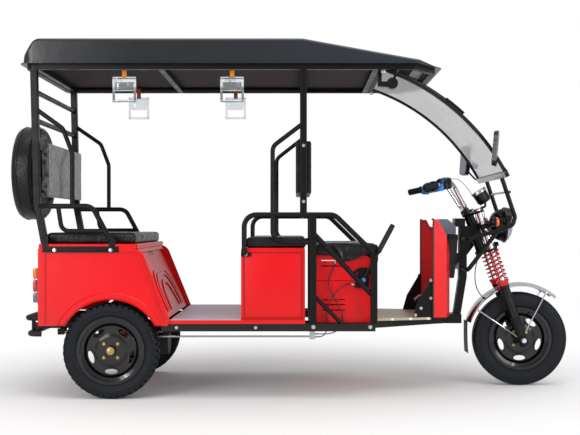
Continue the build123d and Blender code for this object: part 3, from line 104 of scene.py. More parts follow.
bpy.ops.object.select_all(action="DESELECT")
bpy.ops.mesh.primitive_plane_add(size=80, location=(0, 0, 0))
floor = bpy.context.object
floor.name = "floor"
bpy.ops.object.transform_apply()
paper = bpy.data.materials.new("white studio paper")
paper.use_nodes = True
sheet = paper.node_tree
paper_shader = sheet.nodes["Principled BSDF"]
paper_shader.inputs["Base Color"].default_value = rgb("#F4F4F4")
paper_shader.inputs["Roughness"].default_value = 0.9
spot = add_node(sheet, "TexCoord").outputs["Object"]
away = add_node(sheet, "VectorMath", {0: spot}, operation="LENGTH").outputs["Value"]
# Past the object the paper is plain white to the eye and through glass, so its far edge doesn't show
fade = add_node(sheet, "MapRange", {"Value": away, 1: 0.9, 2: 2.6},
                interpolation_type="SMOOTHSTEP").outputs[0]
rays = add_node(sheet, "LightPath")
seen = add_node(sheet, "Math", {0: rays.outputs["Is Camera Ray"], 1: rays.outputs["Is Transmission Ray"]},
                operation="MAXIMUM")
share = add_node(sheet, "Math", {0: fade, 1: seen.outputs[0]}, operation="MULTIPLY").outputs[0]
white = add_node(sheet, "Emission", {"Color": (1, 1, 1, 1), "Strength": 1.0}).outputs[0]
mixed = add_node(sheet, "MixShader", {0: share, 1: paper_shader.outputs[0], 2: white}).outputs[0]
sheet.links.new(mixed, sheet.nodes["Material Output"].inputs["Surface"])
floor.data.materials.append(paper)

# ---- Cables -------------------------------------------------------------------------
# Four thin cables in black PVC sheaths: the loom from the switches down to the lamp, the one down to the
# mudguard, and the parking brake's two, which curl down beside the driver's box to the rod.


def inside(material):
    """A material's tree, its shader, and the place that its textures start from."""
    tree = material.node_tree
    return tree, tree.nodes["Principled BSDF"], tree.nodes["Texture Coordinate"].outputs["Object"]


def lay(material, value, relief=None, rough=None, between=(0, 1), tint=None):
    """A value drives a finish: relief is its strength and depth, rough is the least and the most as the value
    climbs between two marks, and tint is two colours, each a hex code or a node's output."""
    tree, shader, _ = inside(material)
    if relief:
        bump = add_node(tree, "Bump", {"Height": value, "Strength": relief[0], "Distance": relief[1]})
        for link in shader.inputs["Normal"].links:
            tree.links.new(link.from_socket, bump.inputs["Normal"])
        tree.links.new(bump.outputs[0], shader.inputs["Normal"])
    if rough:
        climb = {"Value": value, 1: between[0], 2: between[1], 3: rough[0], 4: rough[1]}
        tree.links.new(add_node(tree, "MapRange", climb).outputs[0], shader.inputs["Roughness"])
    if tint:
        first, last = (rgb(colour) if isinstance(colour, str) else colour for colour in tint)
        mixed = add_node(tree, "Mix", {0: value, 6: first, 7: last}, data_type="RGBA").outputs[2]
        tree.links.new(mixed, shader.inputs["Base Color"])


def grain(material, kind="TexNoise", stretch=None, **details):
    """A texture on the object's own place, with what it drives; capitalised details are its inputs."""
    tree, _, place = inside(material)
    if stretch:
        place = add_node(tree, "Mapping", {"Vector": place, "Scale": stretch}).outputs[0]
    driven = {name: details.pop(name) for name in ("relief", "rough", "between", "tint") if name in details}
    inputs = {name: value for name, value in details.items() if name[0].isupper()}
    settings = {name: value for name, value in details.items() if name[0].islower()}
    texture = add_node(tree, kind, {"Vector": place, **inputs}, **settings)
    value = texture.outputs["Distance" if kind == "TexVoronoi" else "Fac"]
    lay(material, value, **driven)
    return value


def new_finish(name, colour, *grains, **sockets):
    """A material with its grains; what is the same all over is on the shader's own sockets."""
    made = bpy.data.materials.new(name)
    made.use_nodes = True
    add_node(made.node_tree, "TexCoord")
    shader = made.node_tree.nodes["Principled BSDF"]
    shader.inputs["Base Color"].default_value = rgb(colour)
    for socket, value in sockets.items():
        shader.inputs[socket.replace("_", " ")].default_value = value
    for details in grains:
        grain(made, **details)
    return made


# Extruded PVC, dulled in patches where hands and dust have been
cable_sheath = new_finish("black PVC sheath", "#0B0C0E", {
    "Scale": 60, "Detail": 5, "rough": (0.34, 0.6), "between": (0.35, 0.7), "tint": ("#08090B", "#1A1B1E")},
    Roughness=0.42)

for name, body, diameter, length, points in (
        ("handlebar_loom", "steering", 0.003, 0.42, [
            (0.7824, -0.2087, 1.0674), (0.8025, -0.1816, 1.0715), (0.8385, -0.1516, 1.073),
            (0.872, -0.122, 1.052), (0.904, -0.1, 1.02), (0.934, -0.084, 0.98), (0.98, -0.068, 0.934),
            (0.996, -0.05, 0.893), (1.0, -0.028, 0.85), (1.0317, -0.028, 0.85)]),
        ("meter_cable", "steering", 0.005, 0.2277, [
            (0.9609, 0, 0.6819), (0.9687, 0, 0.6592), (0.958, 0, 0.617), (0.953, 0, 0.572), (0.957, 0, 0.527),
            (0.9709, 0, 0.4842), (0.9881, 0, 0.4647)]),
        ("parking_brake_cable_a", "vehicle", 0.005, 0.4948, [
            (0.204, -0.405, 0.6677), (0.204, -0.405, 0.64), (0.18, -0.408, 0.604), (0.168, -0.409, 0.556),
            (0.184, -0.409, 0.504), (0.22, -0.409, 0.446), (0.243, -0.409, 0.396), (0.238, -0.404, 0.35),
            (0.212, -0.394, 0.318), (0.176, -0.378, 0.304), (0.137, -0.362, 0.302), (0.1073, -0.362, 0.302)]),
        ("parking_brake_cable_b", "vehicle", 0.005, 0.39, [
            (0.2985, -0.4037, 0.5449), (0.2715, -0.4037, 0.5522), (0.236, -0.411, 0.536),
            (0.202, -0.417, 0.502), (0.174, -0.418, 0.46), (0.16, -0.417, 0.412), (0.164, -0.412, 0.366),
            (0.166, -0.4, 0.328), (0.152, -0.378, 0.298), (0.133, -0.362, 0.288), (0.1073, -0.362, 0.288)])):
    sheath = bpy.data.curves.new(name + "_sheath", "CURVE")
    sheath.dimensions, sheath.bevel_depth, sheath.bevel_resolution = "3D", diameter / 2, 3
    sheath.use_fill_caps = True
    spline = sheath.splines.new("NURBS")
    spline.points.add(len(points) - 1)
    for point, at in zip(spline.points, points):
        point.co = (*at, 1)
    spline.order_u, spline.use_endpoint_u, spline.resolution_u = 3, True, 12
    sheath.materials.append(cable_sheath)
    cord = bpy.data.objects.new(name + "_sheath", sheath)
    scene.collection.objects.link(cord)
    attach(cord, body)
    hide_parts(name)

# ---- Chassis ------------------------------------------------------------------------
# Welded square steel tube under the whole vehicle, brushed with black chassis enamel.
# Road dust has settled on it, thicker low down.


def wear(material, *names):
    """The named CAD nodes take this material."""
    for name in names:
        cad[name].data.materials.clear()
        cad[name].data.materials.append(material)


# The enamel pools in waves about 8 mm apart, under dust that lies thicker low down
chassis_enamel = new_finish("black chassis enamel", "#0B0B0E",
                            {"Scale": 120, "Detail": 3, "relief": (0.25, 0.001)}, Roughness=0.45,
                            Specular_IOR_Level=0.2)
tree, _, place = inside(chassis_enamel)
height = add_node(tree, "SeparateXYZ", {0: place}).outputs["Z"]
low = add_node(tree, "MapRange", {"Value": height, 1: 0.42, 2: 0.16}).outputs[0]
cloud = grain(chassis_enamel, Scale=14, Detail=8, Roughness=0.7)
dust = add_node(tree, "Math", {0: low, 1: cloud}, operation="MULTIPLY").outputs[0]
lay(chassis_enamel, dust, rough=(0.38, 0.85), tint=("#0F0F12", "#4A433C"))
wear(chassis_enamel, "chassis_frame", "rear_bumper")

# ---- Leaf springs -------------------------------------------------------------------
# Spring steel leaves with a yellow-green zinc passivate, clamped to the axle by U-bolts.

# The passivate shifts between straw, green and lilac in patches about 15 mm wide, over a fine grain
zinc_passivate = new_finish("yellow zinc passivate", "#B5A674",
                            {"Scale": 900, "Detail": 2, "relief": (0.15, 0.0004)}, Metallic=0.85,
                            Roughness=0.38)
tree, shader, _ = inside(zinc_passivate)
ramp = add_node(tree, "ValToRGB", {"Fac": grain(zinc_passivate, Scale=60, Detail=4)})
for at, code in ((0.3, "#8C9A5A"), (0.5, "#C4A55A"), (0.68, "#B08A7C")):
    stop = ramp.color_ramp.elements.new(at)
    stop.color = rgb(code)
ramp.color_ramp.elements[0].color, ramp.color_ramp.elements[-1].color = rgb("#6F8A58"), rgb("#D9C58A")
tree.links.new(ramp.outputs[0], shader.inputs["Base Color"])
wear(zinc_passivate, "leaf_springs")

# Where a turned piece closes on its axis, its ring is this small
tip = 0.0005
smooth_below = radians(40)


def turned(steps, place, facing=(0, 0, 1), sides=48, closed=False):
    """A round piece drawn out ring by ring, as on a lathe; steps are (radius, distance along facing).
    A closed one is a ring whose last step joins its first."""
    if closed:
        steps = [*steps, steps[0]]
    bpy.ops.object.select_all(action="DESELECT")
    bpy.ops.mesh.primitive_circle_add(vertices=sides, radius=steps[0][0],
                                      fill_type="NOTHING" if closed else "NGON")
    piece = bpy.context.object
    bpy.ops.object.mode_set(mode="EDIT")
    bpy.ops.mesh.select_all(action="SELECT")
    bpy.ops.transform.translate(value=(0, 0, steps[0][1]))
    for (last, start), (radius, along) in zip(steps, steps[1:]):
        bpy.ops.mesh.extrude_region_move(TRANSFORM_OT_translate={"value": (0, 0, along - start)})
        bpy.ops.transform.resize(value=(radius / last, radius / last, 1), center_override=(0, 0, along))
    bpy.ops.mesh.select_all(action="SELECT")
    bpy.ops.mesh.remove_doubles(threshold=0.00001)
    bpy.ops.mesh.normals_make_consistent(inside=False)
    bpy.ops.object.mode_set(mode="OBJECT")
    piece.rotation_euler = Vector(facing).to_track_quat("Z", "Y").to_euler()
    piece.location = place
    bpy.ops.object.transform_apply()
    bpy.ops.object.shade_smooth_by_angle(angle=smooth_below)
    return piece


def edit(operation, **settings):
    """One mesh operation on all of the active object."""
    bpy.ops.object.mode_set(mode="EDIT")
    bpy.ops.mesh.select_all(action="SELECT")
    operation(**settings)
    bpy.ops.object.mode_set(mode="OBJECT")


def slab(low, high, bevel=0.002):
    """A slab between two corners, its edges rounded."""
    bpy.ops.object.select_all(action="DESELECT")
    low, high = Vector(low), Vector(high)
    bpy.ops.mesh.primitive_cube_add(size=1, location=(low + high) / 2, scale=high - low)
    bpy.ops.object.transform_apply()
    edit(bpy.ops.mesh.bevel, offset=bevel, segments=2, affect="EDGES")
    bpy.ops.object.shade_smooth_by_angle(angle=smooth_below)
    return bpy.context.object


def bar(points, radius, smooth=False, sides=10):
    """A round bar or wire through points: straight runs, or one smooth bend through all of them."""
    bpy.ops.object.select_all(action="DESELECT")
    line = bpy.data.curves.new("bar", "CURVE")
    line.dimensions, line.bevel_depth, line.bevel_resolution = "3D", radius, sides // 4
    line.use_fill_caps = True
    spline = line.splines.new("NURBS" if smooth else "POLY")
    spline.points.add(len(points) - 1)
    for point, at in zip(spline.points, points):
        point.co = (*at, 1)
    if smooth:
        spline.order_u, spline.use_endpoint_u, spline.resolution_u = 3, True, 8
    made = bpy.data.objects.new("bar", line)
    scene.collection.objects.link(made)
    bpy.context.view_layer.objects.active = made
    made.select_set(True)
    bpy.ops.object.convert(target="MESH")
    bpy.ops.object.shade_smooth_by_angle(angle=smooth_below)
    return bpy.context.object


def joined(pieces):
    """Several meshes made one."""
    bpy.ops.object.select_all(action="DESELECT")
    for piece in pieces:
        piece.select_set(True)
    bpy.context.view_layer.objects.active = pieces[0]
    bpy.ops.object.join()
    return bpy.context.object


def other_side(piece):
    """A copy of a piece on the vehicle's left, with its own mesh."""
    bpy.ops.object.select_all(action="DESELECT")
    copy = piece.copy()
    copy.data = piece.data.copy()
    scene.collection.objects.link(copy)
    copy.select_set(True)
    bpy.context.view_layer.objects.active = copy
    copy.scale = (1, -1, 1)
    bpy.ops.object.transform_apply()
    edit(bpy.ops.mesh.flip_normals)
    return copy


def fit(piece, name, body, slot, material, *stands_for):
    """Names a finished piece, gives it its finish and hangs it on its body."""
    piece.name = piece.data.name = name
    piece.data.materials.clear()
    piece.data.materials.append(material)
    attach(piece, body)
    if stands_for:
        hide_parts(*stands_for)
    return piece


def fit_pair(piece, name, body, slot, material, *stands_for):
    """Fits a piece on the right, and a copy of it on the left."""
    fit(piece, name + "_right", body, slot, material, *stands_for)
    fit(other_side(piece), name + "_left", body, slot, material)


axle_x, axle_z = -0.878, 0.231
nut = [(0.009, 0), (0.009, 0.008), (0.006, 0.009)]
u_bolts = []
for x in (axle_x - 0.028, axle_x + 0.028):
    for y in (-0.327, -0.273):
        u_bolts.append(bar([(x, y, 0.186), (x, y, 0.312)], 0.005))
        u_bolts.append(turned(nut, (x, y, 0.302), sides=6))
    u_bolts.append(bar([(x, -0.327, 0.19), (x, -0.273, 0.19)], 0.005))
fit_pair(joined(u_bolts), "spring_u_bolts", "vehicle", "spring_steel", zinc_passivate)

# ---- Rear axle ----------------------------------------------------------------------
# Cast iron differential and steel axle tubes in rough black paint, with the motor's ribbed case.

# Sand-cast grain, drawn about 4 mm coarse so that it shows
axle_iron = new_finish("painted cast iron", "#24252A", {
    "Scale": 260, "Detail": 5, "Roughness": 0.65, "relief": (0.5, 0.001), "rough": (0.45, 0.8)},
    Roughness=0.6, Metallic=0.2)
wear(axle_iron, "rear_axle")
ribs = [turned([(0.0725, at), (0.076, at), (0.076, at + 0.004), (0.0725, at + 0.004)],
               (-0.83, 0, axle_z), (1, 0, 0), closed=True) for at in (0.03, 0.05, 0.07, 0.09, 0.11)]
fit(joined(ribs), "motor_case_ribs", "vehicle", "axle_iron", axle_iron)

# Electroplated zinc has a faint spangle, drawn 5 mm coarse
bright_zinc = new_finish("bright zinc plate", "#BFC1C4",
                         {"kind": "TexVoronoi", "Scale": 220, "rough": (0.26, 0.44)}, Metallic=1.0,
                         Roughness=0.34)
wear(bright_zinc, "brake_linkage")

# ---- Floors -------------------------------------------------------------------------
# Aluminium chequer plate, rolled with lozenges that lie two ways; the front one has yellowed.


def chequer_plate(name, colour, stain, dirt):
    """Rolled aluminium plate: raised lozenges 22 mm apart, turned by a quarter from row to row."""
    made = new_finish(name, colour, Metallic=0.45, Roughness=0.42)
    tree, _, place = inside(made)
    # The pattern starts well outside the vehicle, because a remainder turns over below nought
    pitch, heights = 0.022, []
    start, half = 200 * pitch, pitch / 2
    for turn, shift in ((radians(45), 0), (radians(-45), half)):
        cell = add_node(tree, "Mapping", {"Vector": place, "Location": (start + shift, start, 0)}).outputs[0]
        cell = add_node(tree, "VectorMath", {0: cell, 1: (pitch, pitch, 1)}, operation="MODULO").outputs[0]
        cell = add_node(tree, "VectorMath", {0: cell, 1: (-half, -half, 0)}, operation="ADD").outputs[0]
        cell = add_node(tree, "Mapping", {"Vector": cell, "Rotation": (0, 0, turn),
                                          "Scale": (1, 3.4, 0)}).outputs[0]
        far = add_node(tree, "VectorMath", {0: cell}, operation="LENGTH").outputs["Value"]
        heights.append(add_node(tree, "MapRange", {"Value": far, 1: 0.0085, 2: 0.0055}).outputs[0])
    height = add_node(tree, "Math", dict(enumerate(heights)), operation="MAXIMUM").outputs[0]
    # Dirt stays between the lozenges, and feet keep their tops bright
    film = grain(made, Scale=6, Detail=3)
    ground = add_node(tree, "Mix", {0: film, 6: rgb(stain), 7: rgb(dirt)}, data_type="RGBA").outputs[2]
    lay(made, height, relief=(0.8, 0.0015), tint=(ground, colour))
    return made


wear(chequer_plate("aluminium chequer plate", "#EEE9F1", "#C4B2C6", "#A88E9C"), "floor_rear")
wear(chequer_plate("yellowed aluminium chequer plate", "#E2E0CE", "#B8B294", "#968F72"), "floor_front")

# ---- Rear body ----------------------------------------------------------------------
# Steel pressings, spot welded and stoved with bright red enamel: sides, back, kick panel and deck.

# Orange peel about 3 mm across, over slow dents in the thin sheet
red_enamel = new_finish("red stoved enamel", "#DC0812", {"Scale": 320, "Detail": 1, "relief": (0.06, 0.001)},
                        {"Scale": 5, "Detail": 2, "relief": (0.22, 0.01)}, Roughness=0.3,
                        Specular_IOR_Level=0.26)
tree, _, place = inside(red_enamel)
shade = grain(red_enamel, Scale=2.2, Detail=4)
colour = add_node(tree, "Mix", {0: shade, 6: rgb("#D2050E"), 7: rgb("#E90F18")}, data_type="RGBA").outputs[2]
# A film of road dust low on the panels
height = add_node(tree, "SeparateXYZ", {0: place}).outputs["Z"]
low = add_node(tree, "MapRange", {"Value": height, 1: 0.46, 2: 0.34, 3: 0, 4: 0.3}).outputs[0]
dust = add_node(tree, "Math", {0: low, 1: grain(red_enamel, Scale=30, Detail=6)},
                operation="MULTIPLY").outputs[0]
lay(red_enamel, dust, tint=(colour, "#7A4A3C"))
wear(red_enamel, "rear_side_panel_right", "rear_side_panel_left", "rear_back_panel", "rear_kick_panel",
     "rear_seat_deck", "sill_strips", "battery_box", "driver_box", "leg_shield")

# ---- Frame tubes --------------------------------------------------------------------
# Round and square steel tube, powder coated black, welded into posts, hoops, rails and the roof's frame.

# Powder flows out into a peel about 2 mm across, rubbed duller and brighter by use
powder_coat = new_finish("black powder coat", "#0B0B0D", {"Scale": 520, "Detail": 2, "relief": (0.1, 0.0008)},
                         {"Scale": 18, "Detail": 6, "rough": (0.26, 0.42), "between": (0.3, 0.7)},
                         Roughness=0.36, Specular_IOR_Level=0.2)
wear(powder_coat, "rear_frame", "mid_frame_right", "mid_frame_left", "mid_crossbars", "roof_frame",
     "head_frame", "front_guard", "foot_gussets", "brake_pedal", "parking_brake", "steering_yokes")

# ---- Roof ---------------------------------------------------------------------------
# One moulding of glass-fibre reinforced resin with a black gel coat, polished on top.

# The gel coat ripples over the mould; its colour is painted greyer in uneven patches and blue-grey towards
# the front, a painted reflection of the sky on the polished moulding
gel_coat = new_finish("black gel coat", "#171A20", {"Scale": 7, "Detail": 3, "relief": (0.2, 0.006)},
                      Roughness=0.16, Specular_IOR_Level=0.5)
tree, _, place = inside(gel_coat)
ahead = add_node(tree, "SeparateXYZ", {0: place}).outputs["X"]
ahead = add_node(tree, "MapRange", {"Value": ahead, 1: -0.4, 2: 0.7}).outputs[0]
# Painted reflection: the colour grows lighter and bluer towards the front
painted_front_sheen = add_node(tree, "Mix", {0: ahead, 6: rgb("#202227"), 7: rgb("#28323F")}, data_type="RGBA").outputs[2]
lay(gel_coat, grain(gel_coat, Scale=3, Detail=6), rough=(0.1, 0.3), tint=("#0E1013", painted_front_sheen))
wear(gel_coat, "roof_shell")

# ---- Windscreen ---------------------------------------------------------------------
# Bent polycarbonate sheet, held by black rubber-faced bands down its edges.

# Wiping has hazed it in streaks and patches
polycarbonate = new_finish("clear polycarbonate", "#CBCBCE", {
    "Scale": 9, "Detail": 8, "Roughness": 0.7, "rough": (0.02, 0.12), "between": (0.4, 0.8)},
    Roughness=0.04, IOR=1.58, Transmission_Weight=1.0)
wear(polycarbonate, "windscreen")
# Extruded rubber is dull, with a skin about 1.5 mm coarse
rubber = new_finish("black extruded rubber", "#0C0D10", {
    "Scale": 700, "Detail": 3, "relief": (0.2, 0.0006), "rough": (0.42, 0.66)},
    Roughness=0.55, Specular_IOR_Level=0.25)
wear(rubber, "windscreen_frame")

# ---- Vinyl cushions -----------------------------------------------------------------
# Foam on plywood under black grained vinyl, drawn down and stapled below; the pull shows as creases.

# Leather grain, drawn 2.5 mm coarse so that it shows, and creases that run across the seat
black_vinyl = new_finish("black grained vinyl", "#08080A", {
    "kind": "TexVoronoi", "feature": "DISTANCE_TO_EDGE", "Scale": 400, "relief": (0.15, 0.0006)}, {
    "stretch": (1, 0.35, 1), "Scale": 26, "Detail": 3, "Distortion": 1.2, "relief": (0.55, 0.006),
    "rough": (0.25, 0.5), "between": (0.35, 0.7)}, Roughness=0.38, Specular_IOR_Level=0.32)


def stuffed(low, high, voxel, reach):
    """A foam pad between two corners: swelled as cloth under pressure, by no more than reach."""
    pinch, pressure, frames = 0.004, 4, 20
    low, high = Vector(low), Vector(high)
    inset = Vector((reach * 0.6,) * 3)
    pad = slab(low + inset, high - inset, min(high - low) * 0.22)
    pad.data.remesh_voxel_size = voxel
    bpy.ops.object.voxel_remesh()
    middle, half = (low + high) / 2, (high - low) / 2
    # The long sides are drawn in between the corners
    for vertex in pad.data.vertices:
        across = [abs(vertex.co[axis] - middle[axis]) / half[axis] for axis in range(3)]
        for axis in (0, 1):
            if half[axis] > 0.03:
                pull = pinch * (1 - across[1 - axis] ** 2) * across[axis] ** 4
                vertex.co[axis] -= pull * (1 if vertex.co[axis] > middle[axis] else -1)
    start = [vertex.co.copy() for vertex in pad.data.vertices]
    cloth = pad.modifiers.new("vinyl", "CLOTH")
    cloth.settings.use_pressure, cloth.settings.uniform_pressure_force = True, pressure
    cloth.settings.effector_weights.gravity = 0
    for step in range(1, frames + 1):
        scene.frame_set(step)
    swelled = pad.evaluated_get(bpy.context.evaluated_depsgraph_get())
    end = [vertex.co.copy() for vertex in swelled.data.vertices]
    pad.modifiers.remove(cloth)
    scene.frame_set(1)
    for vertex, first, last in zip(pad.data.vertices, start, end):
        move = last - first
        move *= min(1, reach / max(move.length, 1e-6))
        vertex.co = first + move
    smooth = pad.modifiers.new("smooth", "SMOOTH")
    smooth.factor, smooth.iterations = 0.5, 3
    bpy.ops.object.modifier_apply(modifier="smooth")
    # The pad fills its own space and no more, and is firmest where it lies on its board
    for axis in range(3):
        values = [vertex.co[axis] for vertex in pad.data.vertices]
        least, most = min(values), max(values)
        for vertex in pad.data.vertices:
            reach_out = (vertex.co[axis] - (least + most) / 2) / ((most - least) / 2)
            firmness = 2.0 if axis == 2 and reach_out < 0 else 1.25
            out = 1 - (1 - min(1, abs(reach_out))) ** firmness
            vertex.co[axis] = middle[axis] + half[axis] * (out if reach_out > 0 else -out)
    bpy.ops.object.shade_smooth()
    return pad


for node in ("rear_cushion", "front_cushion"):
    seat = stuffed(*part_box(node), voxel=0.006, reach=0.012)
    fit(seat, node + "_vinyl", "vehicle", "seat_vinyl", black_vinyl, node)

# The driver's seat has a slack lip that hangs over the front of the box
low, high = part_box("driver_cushion")
top = stuffed((low[0], low[1], high[2] - 0.059), (high[0] - 0.012, high[1], high[2]), voxel=0.006,
              reach=0.012)
lip = stuffed((high[0] - 0.038, low[1], low[2]), (high[0], high[1], high[2] - 0.006), voxel=0.006,
              reach=0.008)
# Its cover hangs in slack folds over the right side of the box
rear, front, run, hem, rim = 0.168, 0.368, 0.2, 0.66, 0.742
slack = stuffed((rear, -0.4235, hem), (front, -0.4095, rim), voxel=0.004, reach=0.004)
for vertex in slack.data.vertices:
    share = (vertex.co.x - rear) / run
    belly = 0.45 + 0.55 * sin(pi * min(1, max(0, share)) ** 0.8)
    vertex.co.z = rim - (rim - vertex.co.z) * belly
    fold = noise.noise(Vector((vertex.co.x * 45 + vertex.co.z * 30, 0.4,
                               vertex.co.z * 22 - vertex.co.x * 12)))
    if vertex.co.y < -0.413:
        vertex.co.y = min(-0.4125, max(-0.4238, vertex.co.y + 0.0045 + 0.006 * fold))
seat = fit(joined([top, lip, slack]), "driver_cushion_vinyl", "vehicle", "seat_vinyl", black_vinyl,
           "driver_cushion")

# ---- Backrests ----------------------------------------------------------------------
# Thin foam boards in the same vinyl; the rear one is still in the grey film it was delivered in.

# Cling film puckers into folds about 60 mm apart; its colour is painted lighter on the folds and darker
# between them, a painted sheen and shade
filmed_vinyl = new_finish("grey film over vinyl", "#4A4B4F", Roughness=0.3, Coat_Weight=0.3)
tree = filmed_vinyl.node_tree
folds = grain(filmed_vinyl, Scale=17, Detail=6, Distortion=2.6, relief=(0.8, 0.004))
# Painted sheen and shade: the fold height lightens the crests and darkens the hollows
painted_fold_light = add_node(tree, "MapRange", {"Value": folds, 1: 0.38, 2: 0.62}).outputs[0]
lay(filmed_vinyl, painted_fold_light, tint=("#101114", "#77787D"))

low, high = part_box("mid_backrests")
thick = 0.028
for name, node, corner, far_corner, material in (
        ("rear_backrest_vinyl", "rear_backrest", *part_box("rear_backrest"), filmed_vinyl),
        ("mid_backrest_rear", "mid_backrests", low, (low[0] + thick, high[1], high[2]), black_vinyl),
        ("mid_backrest_front", "mid_backrests", (high[0] - thick, low[1], low[2]), high, black_vinyl)):
    board = stuffed(corner, far_corner, voxel=0.005, reach=0.006)
    fit(board, name, "vehicle", "seat_vinyl", material, node)

# ---- Spare wheel cover --------------------------------------------------------------
# A drum-shaped bag of black vinyl over a spare wheel, with welts round both edges.

low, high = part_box("spare_wheel_cover")
depth, spare_radius, spare_z = high[0] - low[0], (high[2] - low[2]) / 2, (high[2] + low[2]) / 2
bag = turned([(tip, 0.004), (0.09, 0.004), (0.15, 0.008), (0.165, 0.004), (0.205, 0),
              (spare_radius - 0.016, 0.004), (spare_radius - 0.006, 0.016), (spare_radius - 0.003, 0.026),
              (spare_radius, 0.036), (spare_radius - 0.002, depth / 2), (spare_radius, depth - 0.034),
              (spare_radius - 0.003, depth - 0.024), (spare_radius - 0.007, depth - 0.014),
              (spare_radius - 0.02, depth - 0.003), (0.205, depth), (0.165, depth - 0.006),
              (0.15, depth - 0.01), (0.09, depth - 0.003), (tip, depth - 0.003)], (low[0], 0, spare_z),
             (1, 0, 0), sides=96)
bag = fit(bag, "spare_wheel_bag", "vehicle", "seat_vinyl", black_vinyl, "spare_wheel_cover")
welts = [turned([(spare_radius - 0.001, at), (spare_radius + 0.002, at + 0.003),
                 (spare_radius - 0.001, at + 0.006), (spare_radius - 0.004, at + 0.003)],
                (low[0], 0, spare_z), (1, 0, 0), sides=96, closed=True) for at in (0.03, depth - 0.036)]
fit(joined(welts), "spare_wheel_bag_welts", "vehicle", "seat_vinyl", black_vinyl)

# ---- Plated pieces ------------------------------------------------------------------
# Chromium plate on polished steel, for the fork's tubes, the mudguard, the lamp and the handlebar.

# Fogged in patches by damp and polish
chrome = new_finish("chromium plate", "#D9DCE0", {
    "Scale": 25, "Detail": 6, "rough": (0.06, 0.2), "between": (0.4, 0.75), "tint": ("#E4E6EA", "#B4B9C0")},
    Metallic=1.0, Roughness=0.1)

# ---- Front fork ---------------------------------------------------------------------
# Telescopic fork: plated tubes slide in black cast legs; the coil springs outside stand on red cups.

front_axle = Vector((1.184, 0, 0.243))
rake, trail = radians(19), 0.038
fork_up, fork_ahead = Vector((-sin(rake), 0, cos(rake))), Vector((cos(rake), 0, sin(rake)))
fork_root = front_axle - trail * fork_ahead


def on_fork(ahead, across, along):
    """A point in the fork's own directions, from the steering axis at the height of the wheel's axle."""
    return fork_root + ahead * fork_ahead + Vector((0, across, 0)) + along * fork_up


# Fine shot-blast grain under the paint, drawn 2 mm coarse
leg_black = new_finish("black painted cast alloy", "#0C0D10", {
    "Scale": 480, "Detail": 3, "relief": (0.25, 0.0006), "rough": (0.32, 0.55)},
    Roughness=0.4, Specular_IOR_Level=0.25)
# Dipped lacquer, deeper where it has run
spring_lacquer = new_finish("red spring lacquer", "#C4101C", {
    "Scale": 90, "Detail": 3, "tint": ("#A80410", "#DC101C")}, Roughness=0.25)
wear(spring_lacquer, "fork_springs")

leg_at = on_fork(trail, -0.1, 0)
leg = turned([(tip, -0.034), (0.017, -0.034), (0.02, -0.03), (0.0215, 0.005), (0.0238, 0.06), (0.0238, 0.12),
              (0.0245, 0.121), (0.0245, 0.128), (0.0238, 0.129), (0.0238, 0.285), (0.0256, 0.287),
              (0.0256, 0.302), (tip, 0.302)], leg_at, fork_up)
lug = turned([(tip, 0), (0.019, 0), (0.019, 0.012), (tip, 0.012)], on_fork(trail, -0.134, 0), (0, 1, 0),
             sides=32)
pinch = turned([(tip, 0), (0.007, 0), (0.007, 0.05), (tip, 0.05)], on_fork(0.012, -0.1, -0.022), fork_ahead,
               sides=6)
fit_pair(joined([leg, lug, pinch]), "fork_leg", "steering", "fork_black", leg_black, "front_fork")

cup = turned([(tip, 0.3), (0.0262, 0.3), (0.0275, 0.31), (0.0315, 0.318), (0.032, 0.3275), (tip, 0.3275)],
             leg_at, fork_up)
fit_pair(cup, "spring_cup", "steering", "spring_red", spring_lacquer)

tube = turned([(tip, 0.31), (0.015, 0.31), (0.015, 0.706), (0.0175, 0.7065), (0.0175, 0.712), (tip, 0.712)],
              leg_at, fork_up, sides=40)
nut = turned([(tip, 0.712), (0.0125, 0.712), (0.0125, 0.719), (tip, 0.72)], leg_at, fork_up, sides=6)
axle_nut = turned([(tip, 0), (0.013, 0), (0.013, 0.0015), (0.0105, 0.002), (0.0105, -0.008), (tip, -0.008)],
                  on_fork(trail, -0.1345, 0), (0, 1, 0), sides=6)
fit_pair(joined([tube, nut, axle_nut]), "fork_tube", "steering", "bright_steel", chrome)

# ---- Front mudguard -----------------------------------------------------------------
# Rolled and plated steel strip with wired edges, on four bar stays; a black rubber flap hangs behind.

guard_radius, start_angle, end_angle = 0.294, radians(50), radians(162)
edge = [(-0.0585, -0.0185), (-0.0612, -0.0185), (-0.0628, -0.0163), (-0.0612, -0.0138), (-0.0575, -0.0135)]
crown = [(-0.048, -0.0092), (-0.036, -0.005), (-0.024, -0.0024), (-0.012, -0.0008)]
half = [*edge, *crown]
section = [*half, (0, 0), *((-w, r) for w, r in reversed(half))]
bpy.ops.object.select_all(action="DESELECT")
strip = bpy.data.meshes.new("strip")
strip.from_pydata([front_axle + Vector(((guard_radius + r) * cos(start_angle), w,
                                        (guard_radius + r) * sin(start_angle))) for w, r in section],
                  [(at, at + 1) for at in range(len(section) - 1)], [])
shell = bpy.data.objects.new("shell", strip)
scene.collection.objects.link(shell)
bpy.context.view_layer.objects.active = shell
shell.select_set(True)
edit(bpy.ops.mesh.spin, steps=56, angle=end_angle - start_angle, center=front_axle, axis=(0, 1, 0))
edit(bpy.ops.mesh.remove_doubles, threshold=0.00005)
edit(bpy.ops.mesh.normals_make_consistent, inside=False)
wall = shell.modifiers.new("wall", "SOLIDIFY")
wall.thickness, wall.offset = 0.0014, 0
bpy.ops.object.modifier_apply(modifier="wall")
bpy.ops.object.shade_smooth_by_angle(angle=radians(50))
stays = []
